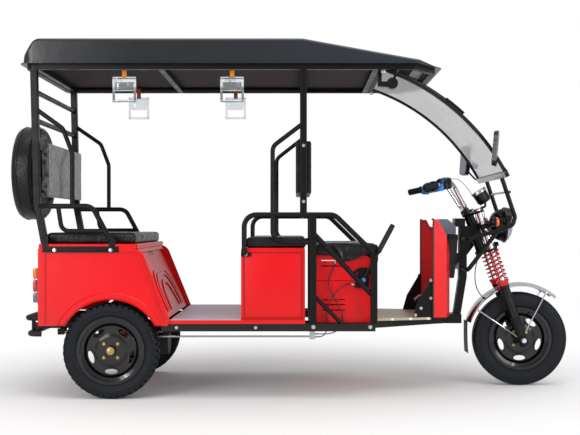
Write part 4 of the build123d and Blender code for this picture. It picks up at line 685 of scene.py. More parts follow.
for side in (-1, 1):
    stays.append(turned([(0.0085, -0.002), (0.0195, -0.002), (0.0195, 0.002), (0.0085, 0.002)],
                        front_axle + Vector((0, side * 0.066, 0)), (0, 1, 0), sides=28, closed=True))
    for angle in (62, 146):
        turn = Vector((cos(radians(angle)), 0, sin(radians(angle))))
        out = Vector((0, side * 0.0655, 0))
        stays.append(bar([front_axle + turn * 0.014 + out, front_axle + turn * 0.27 + out,
                          front_axle + turn * 0.276 + out * 0.985], 0.0036))
        stays.append(turned([(tip, 0), (0.0075, 0), (0.0075, 0.0045), (tip, 0.0052)],
                            front_axle + turn * 0.273 + Vector((0, side * 0.0615, 0)), (0, side, 0), sides=6))
fit(joined([shell, *stays]), "mudguard_shell", "steering", "bright_steel", chrome, "front_mudguard")

# Rubber skin under dried mud, which dulls it in patches
flap_rubber = new_finish("black mudflap rubber", "#0C0D0F",
                         {"Scale": 700, "Detail": 3, "relief": (0.2, 0.0006)},
                         {"Scale": 28, "Detail": 7, "rough": (0.42, 0.75)}, Roughness=0.55,
                         Specular_IOR_Level=0.4)
flap = slab((0.9025, -0.0515, 0.1685), (0.9065, 0.0515, 0.336), 0.0012)
edit(bpy.ops.mesh.subdivide, number_cuts=6)
# The flap curls a little to the rear at its foot, and its middle is thick where it is bolted
for vertex in flap.data.vertices:
    drop = max(0, 0.3 - vertex.co.z) / 0.13
    vertex.co.x += 0.006 * drop * drop - 0.002 * drop * (vertex.co.y / 0.05) ** 2
fit(flap, "mudguard_flap", "steering", "dark_plastic", flap_rubber)
flap_bolts = [turned([(tip, 0), (0.006, 0), (0.006, 0.003), (0.003, 0.0045), (tip, 0.0045)],
                     (0.9065, across, 0.322), (1, 0, 0), sides=20) for across in (-0.03, 0.03)]
flap_bolts.append(slab((0.9062, -0.044, 0.317), (0.9085, 0.044, 0.327), 0.0005))
fit(joined(flap_bolts), "mudguard_flap_bar", "steering", "bright_steel", bright_zinc)

# ---- Headlamp -----------------------------------------------------------------------
# Black ABS bowl and peak round a fluted glass lens and a vacuum-plated reflector, on bent steel ears.

# Polished by its mould, with slow waves and duller patches
black_abs = new_finish("black moulded ABS", "#090A0C", {
    "Scale": 40, "Detail": 4, "rough": (0.16, 0.34), "between": (0.35, 0.7), "relief": (0.06, 0.002)},
    Roughness=0.24, Specular_IOR_Level=0.3)

lamp_x, lamp_z = 1.110, 0.837
lamp_at = Vector((lamp_x, 0, lamp_z))
bowl = turned([(tip, -0.0775), (0.036, -0.0775), (0.046, -0.074), (0.06, -0.065), (0.072, -0.05),
               (0.08, -0.034), (0.0855, -0.016), (0.0895, -0.012), (0.0925, -0.009), (0.0928, 0),
               (0.0885, 0.003), (0.086, 0), (0.084, -0.008), (0.074, -0.03), (0.05, -0.055), (tip, -0.06)],
              lamp_at, (1, 0, 0), sides=72)
# The peak: the upper half of a ring, drawn forward and down at its sides
bpy.ops.object.select_all(action="DESELECT")
bpy.ops.mesh.primitive_circle_add(vertices=72, radius=0.0915, fill_type="NOTHING", location=lamp_at,
                                  rotation=(0, pi / 2, 0))
peak = bpy.context.object
bpy.ops.object.transform_apply()
bpy.ops.object.mode_set(mode="EDIT")
bpy.ops.mesh.select_all(action="SELECT")
bpy.ops.mesh.bisect(plane_co=(lamp_x, 0, lamp_z - 0.02), plane_no=(0, 0, 1), clear_inner=True)
bpy.ops.mesh.select_all(action="SELECT")
for reach in (0.012, 0.014, 0.014):
    bpy.ops.mesh.extrude_region_move(TRANSFORM_OT_translate={"value": (reach, 0, 0)})
bpy.ops.object.mode_set(mode="OBJECT")
for vertex in peak.data.vertices:
    up = max(0, (vertex.co.z - lamp_z + 0.02) / 0.112)
    ahead = vertex.co.x - lamp_x
    vertex.co.x = lamp_x - 0.004 + ahead * (0.12 + 0.98 * up)
    vertex.co.z -= ahead * 0.16 * up
wall = peak.modifiers.new("wall", "SOLIDIFY")
wall.thickness, wall.offset = 0.0028, -1
bpy.ops.object.modifier_apply(modifier="wall")
bpy.ops.object.shade_smooth_by_angle(angle=radians(40))
fit(joined([bowl, peak]), "headlamp_bowl", "steering", "dark_plastic", black_abs, "headlamp")

reflector = turned([(tip, -0.056), (0.012, -0.056), (0.03, -0.051), (0.05, -0.041), (0.068, -0.025),
                    (0.083, -0.004), (0.0855, 0.0005), (0.0875, 0.0005), (0.0885, 0.003), (0.086, 0.0055),
                    (0.0845, 0.0035), (0.081, -0.003), (0.066, -0.0235), (0.048, -0.039), (0.03, -0.0485),
                    (0.012, -0.053), (tip, -0.053)], lamp_at, (1, 0, 0), sides=72)
bulb = turned([(tip, 0), (0.009, 0), (0.009, 0.012), (0.0075, 0.02), (0.0105, 0.026), (0.011, 0.034),
               (0.008, 0.041), (tip, 0.043)], lamp_at - Vector((0.053, 0, 0)), (1, 0, 0), sides=24)
fit(joined([reflector, bulb]), "headlamp_reflector", "steering", "bright_steel", chrome)

# Upright flutes stand 14 mm apart and bend what lies behind them
lens_glass = new_finish("fluted lamp glass", "#E8EEF0", {
    "kind": "TexWave", "bands_direction": "Y", "Scale": 22, "Distortion": 0.0, "relief": (0.5, 0.003)},
    Roughness=0.03, IOR=1.5, Transmission_Weight=1.0)
lens = turned([(0.0855, 0.002), (0.0852, 0.006), (0.08, 0.0135), (0.07, 0.021), (0.056, 0.029),
               (0.038, 0.0355), (0.018, 0.0388), (tip, 0.0395), (tip, 0.037), (0.018, 0.0364),
               (0.038, 0.0332), (0.056, 0.0268), (0.07, 0.0188), (0.079, 0.0112), (0.083, 0.005),
               (0.083, 0.002)], lamp_at, (1, 0, 0), sides=72, closed=True)
fit(lens, "headlamp_lens", "steering", "clear_sheet", lens_glass)

# Ears bent round the fork tubes, with their pivot bolts
ear_pieces = []
for side in (-1, 1):
    ear_pieces.append(turned([(0.0156, 0.606), (0.0205, 0.606), (0.0205, 0.634), (0.0156, 0.634)],
                             on_fork(trail, side * 0.1, 0), fork_up, sides=32, closed=True))
    near, far = on_fork(0.052, side * 0.0905, 0.62), Vector((lamp_x - 0.028, side * 0.086, lamp_z + 0.016))
    ear = slab((-0.5, -0.5, -0.5), (0.5, 0.5, 0.5), 0.02)
    for vertex in ear.data.vertices:
        share = vertex.co.x + 0.5
        vertex.co = near.lerp(far, share) + Vector((0, vertex.co.y * 0.004,
                                                    vertex.co.z * (0.028 + 0.006 * share)))
    ear_pieces.append(ear)
    ear_pieces.append(turned([(tip, 0), (0.011, 0), (0.011, 0.002), (0.008, 0.0025), (0.008, 0.0085),
                              (tip, 0.009)], (lamp_x - 0.034, side * 0.086, lamp_z + 0.016), (0, side, 0),
                             sides=6))
fit(joined(ear_pieces), "headlamp_ears", "steering", "frame_black", powder_coat)

# ---- Indicators ---------------------------------------------------------------------
# Bullet-shaped black shells on short rubber stalks, with orange acrylic lenses.

# Small prisms behind the face, about 3 mm across, shade the orange
amber = new_finish("orange acrylic lens", "#F06A08", {
    "kind": "TexVoronoi", "Scale": 300, "relief": (0.35, 0.001), "tint": ("#D94E00", "#FF8A1C")},
    Roughness=0.1, Specular_IOR_Level=0.6)
shells, lenses = [], []
for side in (-1, 1):
    at = Vector((1.0281, side * 0.154, 0.8532))
    shells.append(turned([(tip, -0.0255), (0.008, -0.025), (0.0165, -0.0205), (0.0225, -0.013),
                          (0.0252, -0.003), (0.0252, 0.006), (0.0235, 0.007), (tip, 0.007)], at, (1, 0, 0),
                         sides=40))
    lenses.append(turned([(tip, 0.0065), (0.0242, 0.0065), (0.0245, 0.0115), (0.0215, 0.0175), (0.014, 0.023),
                          (tip, 0.0255)], at, (1, 0, 0), sides=40))
    shells.append(bar([on_fork(0.052, side * 0.112, 0.624), at + Vector((-0.006, -side * 0.014, -0.004)),
                       at + Vector((0, -side * 0.008, 0))], 0.006, smooth=True))
fit(joined(shells), "indicator_shells", "steering", "dark_plastic", black_abs)
fit(joined(lenses), "indicator_lenses", "steering", "lamp_red", amber)

# ---- Horn ---------------------------------------------------------------------------
# Disc horn: pressed black body, plated rim, ringed grille and a gold cap.

horn_at = Vector((1.053, 0, 0.716))
body = turned([(tip, 0), (0.03, 0), (0.0335, 0.003), (0.0338, 0.012), (0.031, 0.015), (tip, 0.015)],
              horn_at, (1, 0, 0))
bracket = slab((0.998, -0.0115, 0.7105), (1.0545, 0.0115, 0.7135), 0.0008)
grille = [turned([(radius, 0.0145), (radius + 0.0024, 0.0145), (radius + 0.0024, 0.0185), (radius, 0.0185)],
                 horn_at, (1, 0, 0), closed=True) for radius in (0.013, 0.0175, 0.022, 0.0265)]
fit(joined([body, bracket, *grille]), "horn_body", "steering", "dark_plastic", leg_black, "horn")
rim = turned([(0.0295, 0.0135), (0.034, 0.0125), (0.034, 0.019), (0.032, 0.0215), (0.0295, 0.0195)],
             horn_at, (1, 0, 0), sides=64, closed=True)
fit(rim, "horn_rim", "steering", "bright_steel", chrome)
cap = turned([(tip, 0.014), (0.0112, 0.014), (0.0112, 0.0195), (0.008, 0.0225), (tip, 0.0235)], horn_at,
             (1, 0, 0))
fit(cap, "horn_cap", "steering", "bright_steel", zinc_passivate)

# ---- Speedometer --------------------------------------------------------------------
# Black can with a plated bezel; a dark dial with white strokes and a red needle under flat glass.

dial_at, dial_facing = Vector((0.989, 0, 0.987)), Vector((-0.55, 0, 0.835)).normalized()
can = turned([(tip, -0.036), (0.028, -0.036), (0.034, -0.031), (0.038, -0.02), (0.038, 0.024), (tip, 0.024)],
             dial_at, dial_facing)
arm = bar([on_fork(0.03, 0, 0.7085), on_fork(0.085, 0, 0.7085), on_fork(0.103, 0, 0.715),
           on_fork(0.103, 0, 0.742)], 0.006, smooth=True)
foot = slab((-0.5, -0.5, -0.5), (0.5, 0.5, 0.5), 0.03)
for vertex in foot.data.vertices:
    vertex.co = on_fork(0.062 + vertex.co.x * 0.06, vertex.co.y * 0.034, 0.7083 + vertex.co.z * 0.0035)
fit(joined([can, arm, foot]), "speedometer_can", "steering", "dark_plastic", black_abs, "speedometer")
bezel = turned([(0.0385, 0.021), (0.0425, 0.022), (0.043, 0.031), (0.0405, 0.0355), (0.0365, 0.0345),
                (0.0365, 0.03)], dial_at, dial_facing, sides=64, closed=True)
fit(bezel, "speedometer_bezel", "steering", "bright_steel", chrome)
# Matt ink, faintly mottled, so that the dial doesn't shine as its can does
dial_ink = new_finish("printed dial", "#0B0B0C", {"Scale": 500, "Detail": 2, "tint": ("#070708", "#151619")},
                      Roughness=0.5)
dial_x = Vector((0, -1, 0))
dial_y = dial_facing.cross(dial_x)
dial_face = turned([(tip, 0.0245), (0.0365, 0.0245), (0.0365, 0.0262), (tip, 0.0262)], dial_at, dial_facing)
fit(dial_face, "speedometer_dial", "steering", "dark_plastic", dial_ink)
# White ink, printed a little unevenly
white_ink = new_finish("white dial strokes", "#E8E8E4", {"Scale": 900, "tint": ("#D8D8D2", "#F4F4F0")},
                       Roughness=0.5)
strokes = []
for step in range(21):
    angle = radians(225 - 13.5 * step)
    ray = dial_x * cos(angle) + dial_y * sin(angle)
    inner = dial_at + dial_facing * 0.0263 + ray * (0.027 if step % 5 else 0.0235)
    strokes.append(bar([inner, dial_at + dial_facing * 0.0263 + ray * 0.0325], 0.0006, sides=4))
fit(joined(strokes), "speedometer_strokes", "steering", "grey_plastic", white_ink)
pointer, over_dial = radians(222), dial_at + dial_facing * 0.0285
ray = dial_x * cos(pointer) + dial_y * sin(pointer)
needle = [bar([over_dial - ray * 0.006, over_dial + ray * 0.029], 0.0009, sides=4),
          turned([(tip, 0.026), (0.004, 0.026), (0.004, 0.0295), (tip, 0.03)], dial_at, dial_facing,
                 sides=20)]
fit(joined(needle), "speedometer_needle", "steering", "spring_red", spring_lacquer)
# Smears dull the glass in patches
flat_glass = new_finish("flat dial glass", "#EEF2F3", {
    "Scale": 70, "Detail": 5, "rough": (0.01, 0.12), "between": (0.45, 0.8)},
    Roughness=0.02, IOR=1.5, Transmission_Weight=1.0)
glass = turned([(tip, 0.0315), (0.0364, 0.0315), (0.0364, 0.0332), (tip, 0.0338)], dial_at, dial_facing,
               sides=64)
fit(glass, "speedometer_glass", "steering", "clear_sheet", flat_glass)

# ---- Handlebar grips and switches ---------------------------------------------------
# Ribbed rubber grips on the bent bar, then clam-shell switch housings with blue keys and a steel clamp.

# Pigment swirls through the moulded keys and lightens their blue
switch_blue = new_finish("blue moulded keys", "#1E7FE0",
                         {"Scale": 240, "Detail": 3, "tint": ("#1668C4", "#2E92F4")}, Roughness=0.3)
grip_end, grip_start = Vector((0.648, -0.345, 1.02)), Vector((0.722, -0.29, 1.036))
switch_end = Vector((0.8, -0.185, 1.052))
along = (grip_start - grip_end).normalized()
steps = [(tip, -0.003), (0.015, -0.003), (0.0175, 0)]
for rib in range(12):
    start = rib * 0.0055
    steps += [(0.0172, 0.004 + start), (0.0155, 0.0052 + start), (0.0155, 0.0072 + start),
              (0.0172, 0.0084 + start)]
steps += [(0.017, 0.0705), (0.0205, 0.0715), (0.0215, 0.075), (0.019, 0.078), (0.0112, 0.078)]
fit_pair(turned(steps, grip_end, along, sides=40), "handlebar_grip", "steering", "dark_plastic", flap_rubber,
         "handlebar_grips")

across = (switch_end - grip_start).normalized()
side_on = across.cross(Vector((0, 0, 1))).normalized()
above = side_on.cross(across)


def on_bar(ahead, sideways, up):
    """A point beside the bar's switch run, from the grip's inner end."""
    return grip_start + across * ahead + side_on * sideways + above * up


def bar_block(ahead, sideways, up, bevel):
    """A rounded block in the bar's directions, from its three ranges."""
    block = slab((ahead[0], sideways[0], up[0]), (ahead[1], sideways[1], up[1]), bevel)
    for vertex in block.data.vertices:
        vertex.co = on_bar(*vertex.co)
    return block


housing = joined([bar_block((0.022, 0.058), (-0.025, 0.025), (-0.027, 0.0275), 0.009),
                  bar_block((0.0595, 0.103), (-0.025, 0.024), (-0.028, 0.0285), 0.009),
                  bar_block((0.026, 0.1), (-0.02, 0.02), (-0.018, 0.018), 0.006)])
fit_pair(housing, "switch_housing", "steering", "dark_plastic", black_abs)
keys = joined([bar_block((0.0, 0.0225), (-0.0215, 0.019), (-0.031, 0.006), 0.005),
               bar_block((0.027, 0.053), (-0.0275, -0.0235), (-0.008, 0.02), 0.0015),
               bar_block((0.03, 0.05), (-0.016, 0.004), (0.0265, 0.0295), 0.0015),
               bar_block((0.065, 0.083), (-0.0275, -0.0235), (0.002, 0.02), 0.0015),
               bar_block((0.064, 0.098), (-0.018, 0.014), (0.0275, 0.0305), 0.0015)])
fit_pair(keys, "switch_keys", "steering", "grey_plastic", switch_blue)
clamp = turned([(0.0114, 0.1045), (0.0155, 0.1045), (0.0155, 0.1145), (0.0114, 0.1145)], grip_start, across,
               sides=32, closed=True)
screw = turned([(tip, 0), (0.0045, 0), (0.0045, 0.003), (tip, 0.0035)], on_bar(0.1095, 0, 0.0145), above,
               sides=6)
fit_pair(joined([clamp, screw]), "bar_clamp", "steering", "bright_steel", bright_zinc)
lock = turned([(tip, 0), (0.0125, 0), (0.0125, 0.028), (0.0095, 0.03), (tip, 0.03)],
              on_fork(-0.012, -0.068, 0.707), fork_up, sides=32)
fit(lock, "ignition_lock", "steering", "dark_plastic", black_abs)
key = joined([slab((-0.5, -0.5, -0.5), (0.5, 0.5, 0.5), 0.05), bar([(0, 0, 0.4), (0, 0, 0.9)], 0.05)])
for vertex in key.data.vertices:
    x, y, z = vertex.co
    vertex.co = on_fork(-0.012 + x * 0.018, -0.068 + y * 0.0035, 0.737 + (z + 0.5) * 0.022)
fit(key, "ignition_key", "steering", "bright_steel", bright_zinc)
wear(chrome, "handlebar")

# ---- Roof liner ---------------------------------------------------------------------
# Brown pressed fibre board laid on the roof's frame, its edges hidden by the moulding's flange.

# Fibres lie along the board, drawn 3 mm coarse, and damp has clouded it
fibre_board = new_finish("brown pressed fibre board", "#2A211E", {
    "stretch": (0.25, 1, 1), "Scale": 420, "Detail": 4, "relief": (0.3, 0.0008)}, {
    "Scale": 3.5, "Detail": 6, "tint": ("#1E1715", "#3A2E29")}, Roughness=0.75, Specular_IOR_Level=0.2)
boards = []
for rear, front in ((-1.255, -0.643), (-0.637, 0.047), (0.053, 0.397), (0.403, 0.6)):
    half = 0.432 if front < 0.5 else 0.4
    board = slab((rear, -half, 1.6135), (front, half, 1.6165), 0.0008)
    edit(bpy.ops.mesh.subdivide, number_cuts=8)
    for vertex in board.data.vertices:
        along, side = (vertex.co.x - rear) / (front - rear), vertex.co.y / half
        vertex.co.z += 0.004 * sin(pi * along) * (1 - side * side)
    boards.append(board)
fit(joined(boards), "roof_liner", "vehicle", "roof_black", fibre_board)

# Pop rivets hold the moulding's flange to the frame
rivets = []
for side in (-1, 1):
    for step in range(9):
        rivets.append(turned([(tip, 0), (0.0055, 0), (0.005, 0.002), (0.0025, 0.0034), (tip, 0.0036)],
                             (-1.2 + step * 0.205, side * 0.458, 1.617), (0, 0, 1), sides=16))
fit(joined(rivets), "roof_rivets", "vehicle", "bright_steel", bright_zinc)

# ---- Screen trim --------------------------------------------------------------------
# Folded aluminium strip over the foot of the screen, its screws, and the two bolted brackets at the top.

# Rolling lines run along the strip, drawn 2 mm apart
aluminium = new_finish("mill aluminium", "#C9CCCE", {
    "stretch": (1, 0.03, 1), "Scale": 480, "Detail": 2, "rough": (0.26, 0.5)}, Metallic=1.0, Roughness=0.36)
foot_at = Vector((1.042, 0, 1.09))
down, out = Vector((0.46873, 0, -0.88334)), Vector((0.88334, 0, 0.46873))


def foot_strip(along, outward, across, bevel=0.0006):
    """A block at the screen's foot, from its ranges down the screen, outward and across."""
    block = slab((along[0], across[0], outward[0]), (along[1], across[1], outward[1]), bevel)
    for vertex in block.data.vertices:
        vertex.co = foot_at + down * vertex.co.x + out * vertex.co.z + Vector((0, vertex.co.y, 0))
    return block


strip = [foot_strip((-0.012, 0.0165), (0.0092, 0.0108), (-0.383, 0.383)),
         foot_strip((-0.012, 0.0165), (-0.0108, -0.0092), (-0.383, 0.383)),
         foot_strip((-0.0135, -0.0115), (0.0022, 0.0108), (-0.358, 0.358))]
for across in (-0.35, -0.21, -0.07, 0.07, 0.21, 0.35):
    strip.append(turned([(tip, 0), (0.0046, 0), (0.0042, 0.0016), (tip, 0.0026)],
                        foot_at + down * 0.004 + out * 0.0107 + Vector((0, across, 0)), out, sides=16))
for side in (-1, 1):
    strip.append(slab((0.428, side * 0.405 - 0.011, 1.5745), (0.446, side * 0.405 + 0.011, 1.6125), 0.001))
    for height in (1.583, 1.603):
        strip.append(turned([(tip, 0), (0.0055, 0), (0.0055, 0.003), (tip, 0.0035)],
                            (0.446, side * 0.405, height), (1, 0, 0), sides=6))
fit(joined(strip), "screen_foot_strip", "vehicle", "bright_steel", aluminium)

# ---- Wiper and mirrors --------------------------------------------------------------
# Moulded arm and motor case on a plated spindle; mirrors are silvered glass let into black shells.

spindle_at, spindle_out = Vector((0.5044, -0.322, 1.5761)), Vector((0.3778, 0, 0.9259))
nut = turned([(tip, 0.002), (0.0135, 0.002), (0.0135, 0.004), (0.0105, 0.0045), (0.0105, 0.011),
              (0.007, 0.012), (0.007, 0.024), (0.0075, 0.0245), (0.0075, 0.029), (tip, 0.0305)], spindle_at,
             spindle_out, sides=6)
fit(nut, "wiper_spindle", "vehicle", "bright_steel", bright_zinc)
# Silvering is almost clear of haze, but for smears
silvered = new_finish("silvered mirror glass", "#8A929A", {
    "Scale": 40, "Detail": 5, "rough": (0.02, 0.14), "between": (0.5, 0.8)}, Metallic=1.0, Roughness=0.03)
both = (("right", -1), ("left", 1))
half_high, half_wide, corner = 0.043, 0.079, 0.02
for side_name, side in both:
    facing = Vector((-0.968, -side * 0.25, 0.08)).normalized()
    across = Vector((0.25, -side * 0.968, 0)).normalized()
    above = facing.cross(across) * -side
    at = Vector((0.985, side * 0.452, 1.205)) + facing * 0.0198
    glass = slab((-half_high, -half_wide, 0), (half_high, half_wide, 0.0012), 0.0005)
    edit(bpy.ops.mesh.subdivide, number_cuts=10)
    for vertex in glass.data.vertices:
        x, y, z = vertex.co
        past_x, past_y = max(0, abs(x) - half_high + corner), max(0, abs(y) - half_wide + corner)
        past = hypot(past_x, past_y)
        if past > corner:
            x -= (abs(x) / x) * past_x * (1 - corner / past)
            y -= (abs(y) / y) * past_y * (1 - corner / past)
        vertex.co = at + across * x + above * y + facing * z
    edit(bpy.ops.mesh.normals_make_consistent, inside=False)
    fit(glass, f"mirror_glass_{side_name}", "vehicle", "bright_steel", silvered)
wear(black_abs, "wiper", "mirrors")

# ---- Leg shield ---------------------------------------------------------------------
# Pressed red sheet with an olive rubber edging pushed over its rear edges, and a grey dash moulding.

# Olive compound with a skin about 2 mm coarse, darker in its hollows
edging_and_shadow_line = new_finish("olive rubber edging", "#2B2C20", {
    "Scale": 600, "Detail": 3, "relief": (0.25, 0.0006), "tint": ("#1F2018", "#3B3C2A")},
    Roughness=0.5, Specular_IOR_Level=0.35)
trims = []
for side in (-1, 1):
    trims.append(bar([(0.7, side * 0.2685, 0.378), (0.7, side * 0.2685, 0.6), (0.7, side * 0.2685, 0.845),
                      (0.7, side * 0.2685, 0.866), (0.7, side * 0.255, 0.8665), (0.7, side * 0.222, 0.8665)],
                     0.0042, smooth=True))
fit(joined(trims), "leg_shield_edging", "vehicle", "dark_plastic", edging_and_shadow_line)

# Spark-eroded texture of the mould, drawn 2 mm coarse, on a grey that varies slowly
grey_abs = new_finish("grey moulded ABS", "#5A626D", {"Scale": 520, "Detail": 2, "relief": (0.2, 0.0006)},
                      {"Scale": 15, "Detail": 4, "tint": ("#4C545F", "#69727D")}, Roughness=0.3)
wear(grey_abs, "shield_hump")

# A folded black sheet closes the gap between the shield and the head frame
fold_top, fold_high = 0.789, 0.229
splash = slab((0.8005, -0.072, fold_top - fold_high), (0.853, 0.072, fold_top), 0.004)
edit(bpy.ops.mesh.subdivide, number_cuts=6)
for vertex in splash.data.vertices:
    share = (fold_top - vertex.co.z) / fold_high
    vertex.co.y *= 1 - 0.45 * share
    vertex.co.x += (0.8265 - vertex.co.x) * 0.55 * share ** 2
edit(bpy.ops.mesh.normals_make_consistent, inside=False)
fit(splash, "splash_guard", "vehicle", "dark_plastic", black_abs)

# Bolts with plain washers hold the shield to its gussets
shield_bolts = [turned([(tip, 0), (0.0085, 0), (0.0085, 0.0012), (0.006, 0.0014), (0.006, 0.005),
                        (tip, 0.0055)], (x, -0.2552, z), (0, -1, 0), sides=6)
                for x, z in ((0.69, 0.56), (0.69, 0.47), (0.64, 0.42), (0.612, 0.385))]
fit_pair(joined(shield_bolts), "gusset_bolts", "vehicle", "bright_steel", bright_zinc)

# ---- Pedal and parking brake --------------------------------------------------------
# A ribbed rubber pad, faded to pink, on the pedal; on the lever a ribbed grip, a toothed plate and a bolt
# of blue passivated zinc.

# Sun and boots have faded it in blotches
faded_rubber = new_finish("faded pedal rubber", "#A8607C",
                          {"Scale": 60, "Detail": 5, "tint": ("#8A4A66", "#C888A0")}, Roughness=0.6)
pedal_at, pedal_out, pedal_up = Vector((0.642, -0.15, 0.46)), Vector((-0.6, 0, 0.8)), Vector((0.8, 0, 0.6))
pads = []
ribs = [(-0.018 + 0.0075 * step, -0.014 + 0.0075 * step, 0.0058) for step in range(5)]
for low, high, rise in ((-0.02, 0.02, 0.004), *ribs):
    pad = slab((-0.03, low, 0), (0.03, high, rise), 0.0008)
    for vertex in pad.data.vertices:
        x, y, z = vertex.co
        vertex.co = pedal_at + pedal_out * (0.0092 + z) + pedal_up * y + Vector((0, x, 0))
    pads.append(pad)
pads = joined(pads)
edit(bpy.ops.mesh.normals_make_consistent, inside=False)
fit(pads, "pedal_pad", "vehicle", "dark_plastic", faded_rubber)

lever_foot, lever_head = Vector((0.34, -0.424, 0.571)), Vector((0.484, -0.424, 0.839))
lever_along = (lever_head - lever_foot).normalized()
half_way, run = (lever_foot + lever_head) / 2, (lever_head - lever_foot).length / 2
steps = [(0.0085, -0.004), (0.0118, -0.003), (0.0122, 0.002)]
for rib in range(11):
    start = 0.006 + rib * 0.0115
    steps += [(0.0123, start), (0.0132, start + 0.0015), (0.0132, start + 0.006), (0.0123, start + 0.0075)]
steps += [(0.0126, run - 0.012), (0.011, run - 0.002), (tip, run + 0.0008)]
fit(turned(steps, half_way, lever_along, sides=32), "lever_grip", "vehicle", "dark_plastic", flap_rubber)
teeth, pivot_x, pivot_z, plate_y = [], 0.34, 0.571, -0.4025
for step in range(11):
    angle = radians(52 + 7 * step)
    at = Vector((pivot_x + 0.058 * cos(angle), plate_y, pivot_z + 0.058 * sin(angle)))
    teeth.append(turned([(tip, -0.002), (0.0042, -0.002), (0.0042, 0.002), (tip, 0.002)], at, (0, 1, 0),
                        sides=3))
plate = turned([(0.046, -0.0018), (0.058, -0.0018), (0.058, 0.0018), (0.046, 0.0018)],
               (pivot_x, plate_y, pivot_z), (0, 1, 0), sides=64, closed=True)
edit(bpy.ops.mesh.bisect, plane_co=(pivot_x, plate_y, pivot_z + 0.02), plane_no=(-0.25, 0, 1),
     clear_inner=True, use_fill=True)
fit(joined([plate, *teeth]), "lever_teeth", "vehicle", "frame_black", powder_coat)
# Blue dye over zinc, uneven from the bath
blue_zinc = new_finish("blue passivated zinc", "#3F6FB4",
                       {"Scale": 120, "Detail": 3, "tint": ("#2F5FA8", "#7FA2CC")}, Metallic=0.9,
                       Roughness=0.3)
pivot = turned([(tip, 0), (0.0125, 0), (0.0125, 0.0015), (0.0095, 0.002), (0.0095, 0.009), (0.0055, 0.0095),
                (0.0055, 0.014), (tip, 0.0145)], (pivot_x, -0.4302, pivot_z), (0, -1, 0), sides=6)
fit(pivot, "lever_pivot_bolt", "vehicle", "bright_steel", blue_zinc)
ends = []
for at, facing in (((0.204, -0.405, 0.6675), (0, 0, -1)), ((0.1075, -0.362, 0.302), (1, 0, 0)),
                   ((0.1075, -0.362, 0.288), (1, 0, 0)), ((0.2983, -0.4037, 0.545), (-0.965, 0, 0.262))):
    ends.append(turned([(0.0026, 0), (0.0044, 0), (0.0044, 0.011), (0.0036, 0.012), (0.0036, 0.018),
                        (0.0026, 0.019)], at, facing, sides=24, closed=True))
fit(joined(ends), "brake_cable_ferrules", "vehicle", "bright_steel", bright_zinc)

# ---- Fasteners ----------------------------------------------------------------------
# Zinc-plated hexagon bolts with washers, through the rails, posts and body brackets.

bolts = []
for x, y, z, radius in ((0.097, -0.4762, 0.347, 0.0075), (0.37, -0.4762, 0.347, 0.0075),
                        (-0.18, -0.4762, 0.344, 0.006), (-0.56, -0.4762, 0.344, 0.006),
                        (-0.229, -0.4595, 0.695, 0.0065), (-1.1415, -0.4945, 0.7165, 0.007),
                        (-0.873, -0.4945, 0.7165, 0.007), (0.05, -0.4562, 0.95, 0.006),
                        (0.05, -0.4562, 1.22, 0.006)):
    washer = radius * 1.4
    bolts.append(turned([(tip, 0), (washer, 0), (washer, 0.0012), (radius, 0.0014), (radius, radius * 0.7),
                         (tip, radius * 0.8)], (x, y, z), (0, -1, 0), sides=6))
fit_pair(joined(bolts), "frame_bolts", "vehicle", "bright_steel", bright_zinc)

# Saddle clamps and bolts hold the front guard's tubes to the screen's channel and the thin bar
clamps = []
for side in (-1, 1):
    clamps.append(slab((1.072, side * 0.208 - 0.015, 0.9975), (1.0945, side * 0.208 + 0.015, 1.0105), 0.003))
    clamps.append(turned([(tip, 0), (0.006, 0), (0.006, 0.004), (tip, 0.0045)], (1.0945, side * 0.208, 1.004),
                         (1, 0, 0), sides=6))
fit(joined(clamps), "guard_clamps", "vehicle", "frame_black", powder_coat)
thin_bar = bar([(1.079, -0.197, 1.004), (1.079, 0.197, 1.004)], 0.0056)
fit(thin_bar, "guard_bar_sleeve", "vehicle", "bright_steel", aluminium)

# ---- Body locks and hinges ----------------------------------------------------------
# Barrel locks on the kick panel and the boxes, and pin hinges under the lids, all bright zinc.

locks = []
kick_out = Vector((0.3535, 0, 0.1654)).normalized()
for at, facing in (((-0.7453, 0, 0.69), kick_out), ((-0.2522, 0, 0.668), (-1, 0, 0)),
                   ((0.3772, 0, 0.6), (1, 0, 0))):
    locks.append(turned([(tip, 0), (0.0125, 0), (0.0125, 0.002), (0.0095, 0.0035), (0.0095, 0.007),
                         (0.0035, 0.0072), (0.0035, 0.0045), (tip, 0.0045)], at, facing, sides=32))
for y in (-0.3, 0.3):
    locks.append(bar([(-0.2545, y - 0.03, 0.7035), (-0.2545, y + 0.03, 0.7035)], 0.0036))
    locks.append(slab((-0.2545, y - 0.027, 0.683), (-0.2522, y + 0.027, 0.7025), 0.0005))
fit(joined(locks), "body_locks", "vehicle", "bright_steel", bright_zinc)

# ---- Box doors and panel seams ------------------------------------------------------
# Each end of the battery box is a folded door sheet; thin dark bars round it, and along the seams and folds
# of the body's panels, are painted shadow lines for the gaps and folds.

door_low, door_high, door_face = Vector((-0.2355, 0, 0.3885)), Vector((0.041, 0, 0.7025)), 0.447
door = slab((door_low.x + 0.0022, -door_face - 0.0014, door_low.z + 0.0022),
            (door_high.x - 0.0022, -door_face + 0.0002, door_high.z - 0.0022), 0.0007)
fit_pair(door, "battery_door", "vehicle", "body_red", red_enamel)
corners = [(door_low.x, door_low.z), (door_high.x, door_low.z), (door_high.x, door_high.z),
           (door_low.x, door_high.z)]
# Painted shadow: thin dark bars round the door's gap and along the panels' seams and folds
seam_shadows = [bar([(x0, -door_face - 0.0004, z0), (x1, -door_face - 0.0004, z1)], 0.0011)
         for (x0, z0), (x1, z1) in zip(corners, corners[1:] + corners[:1])]
panel_y = -0.4942
for route in ([(-1.187, 0.357), (-1.187, 0.715)],
              [(-1.187, 0.7055), (-0.762, 0.7055), (-0.738, 0.695), (-0.7206, 0.672), (-0.6165, 0.375)]):
    seam_shadows.append(bar([(x, panel_y, z) for x, z in route], 0.0009))
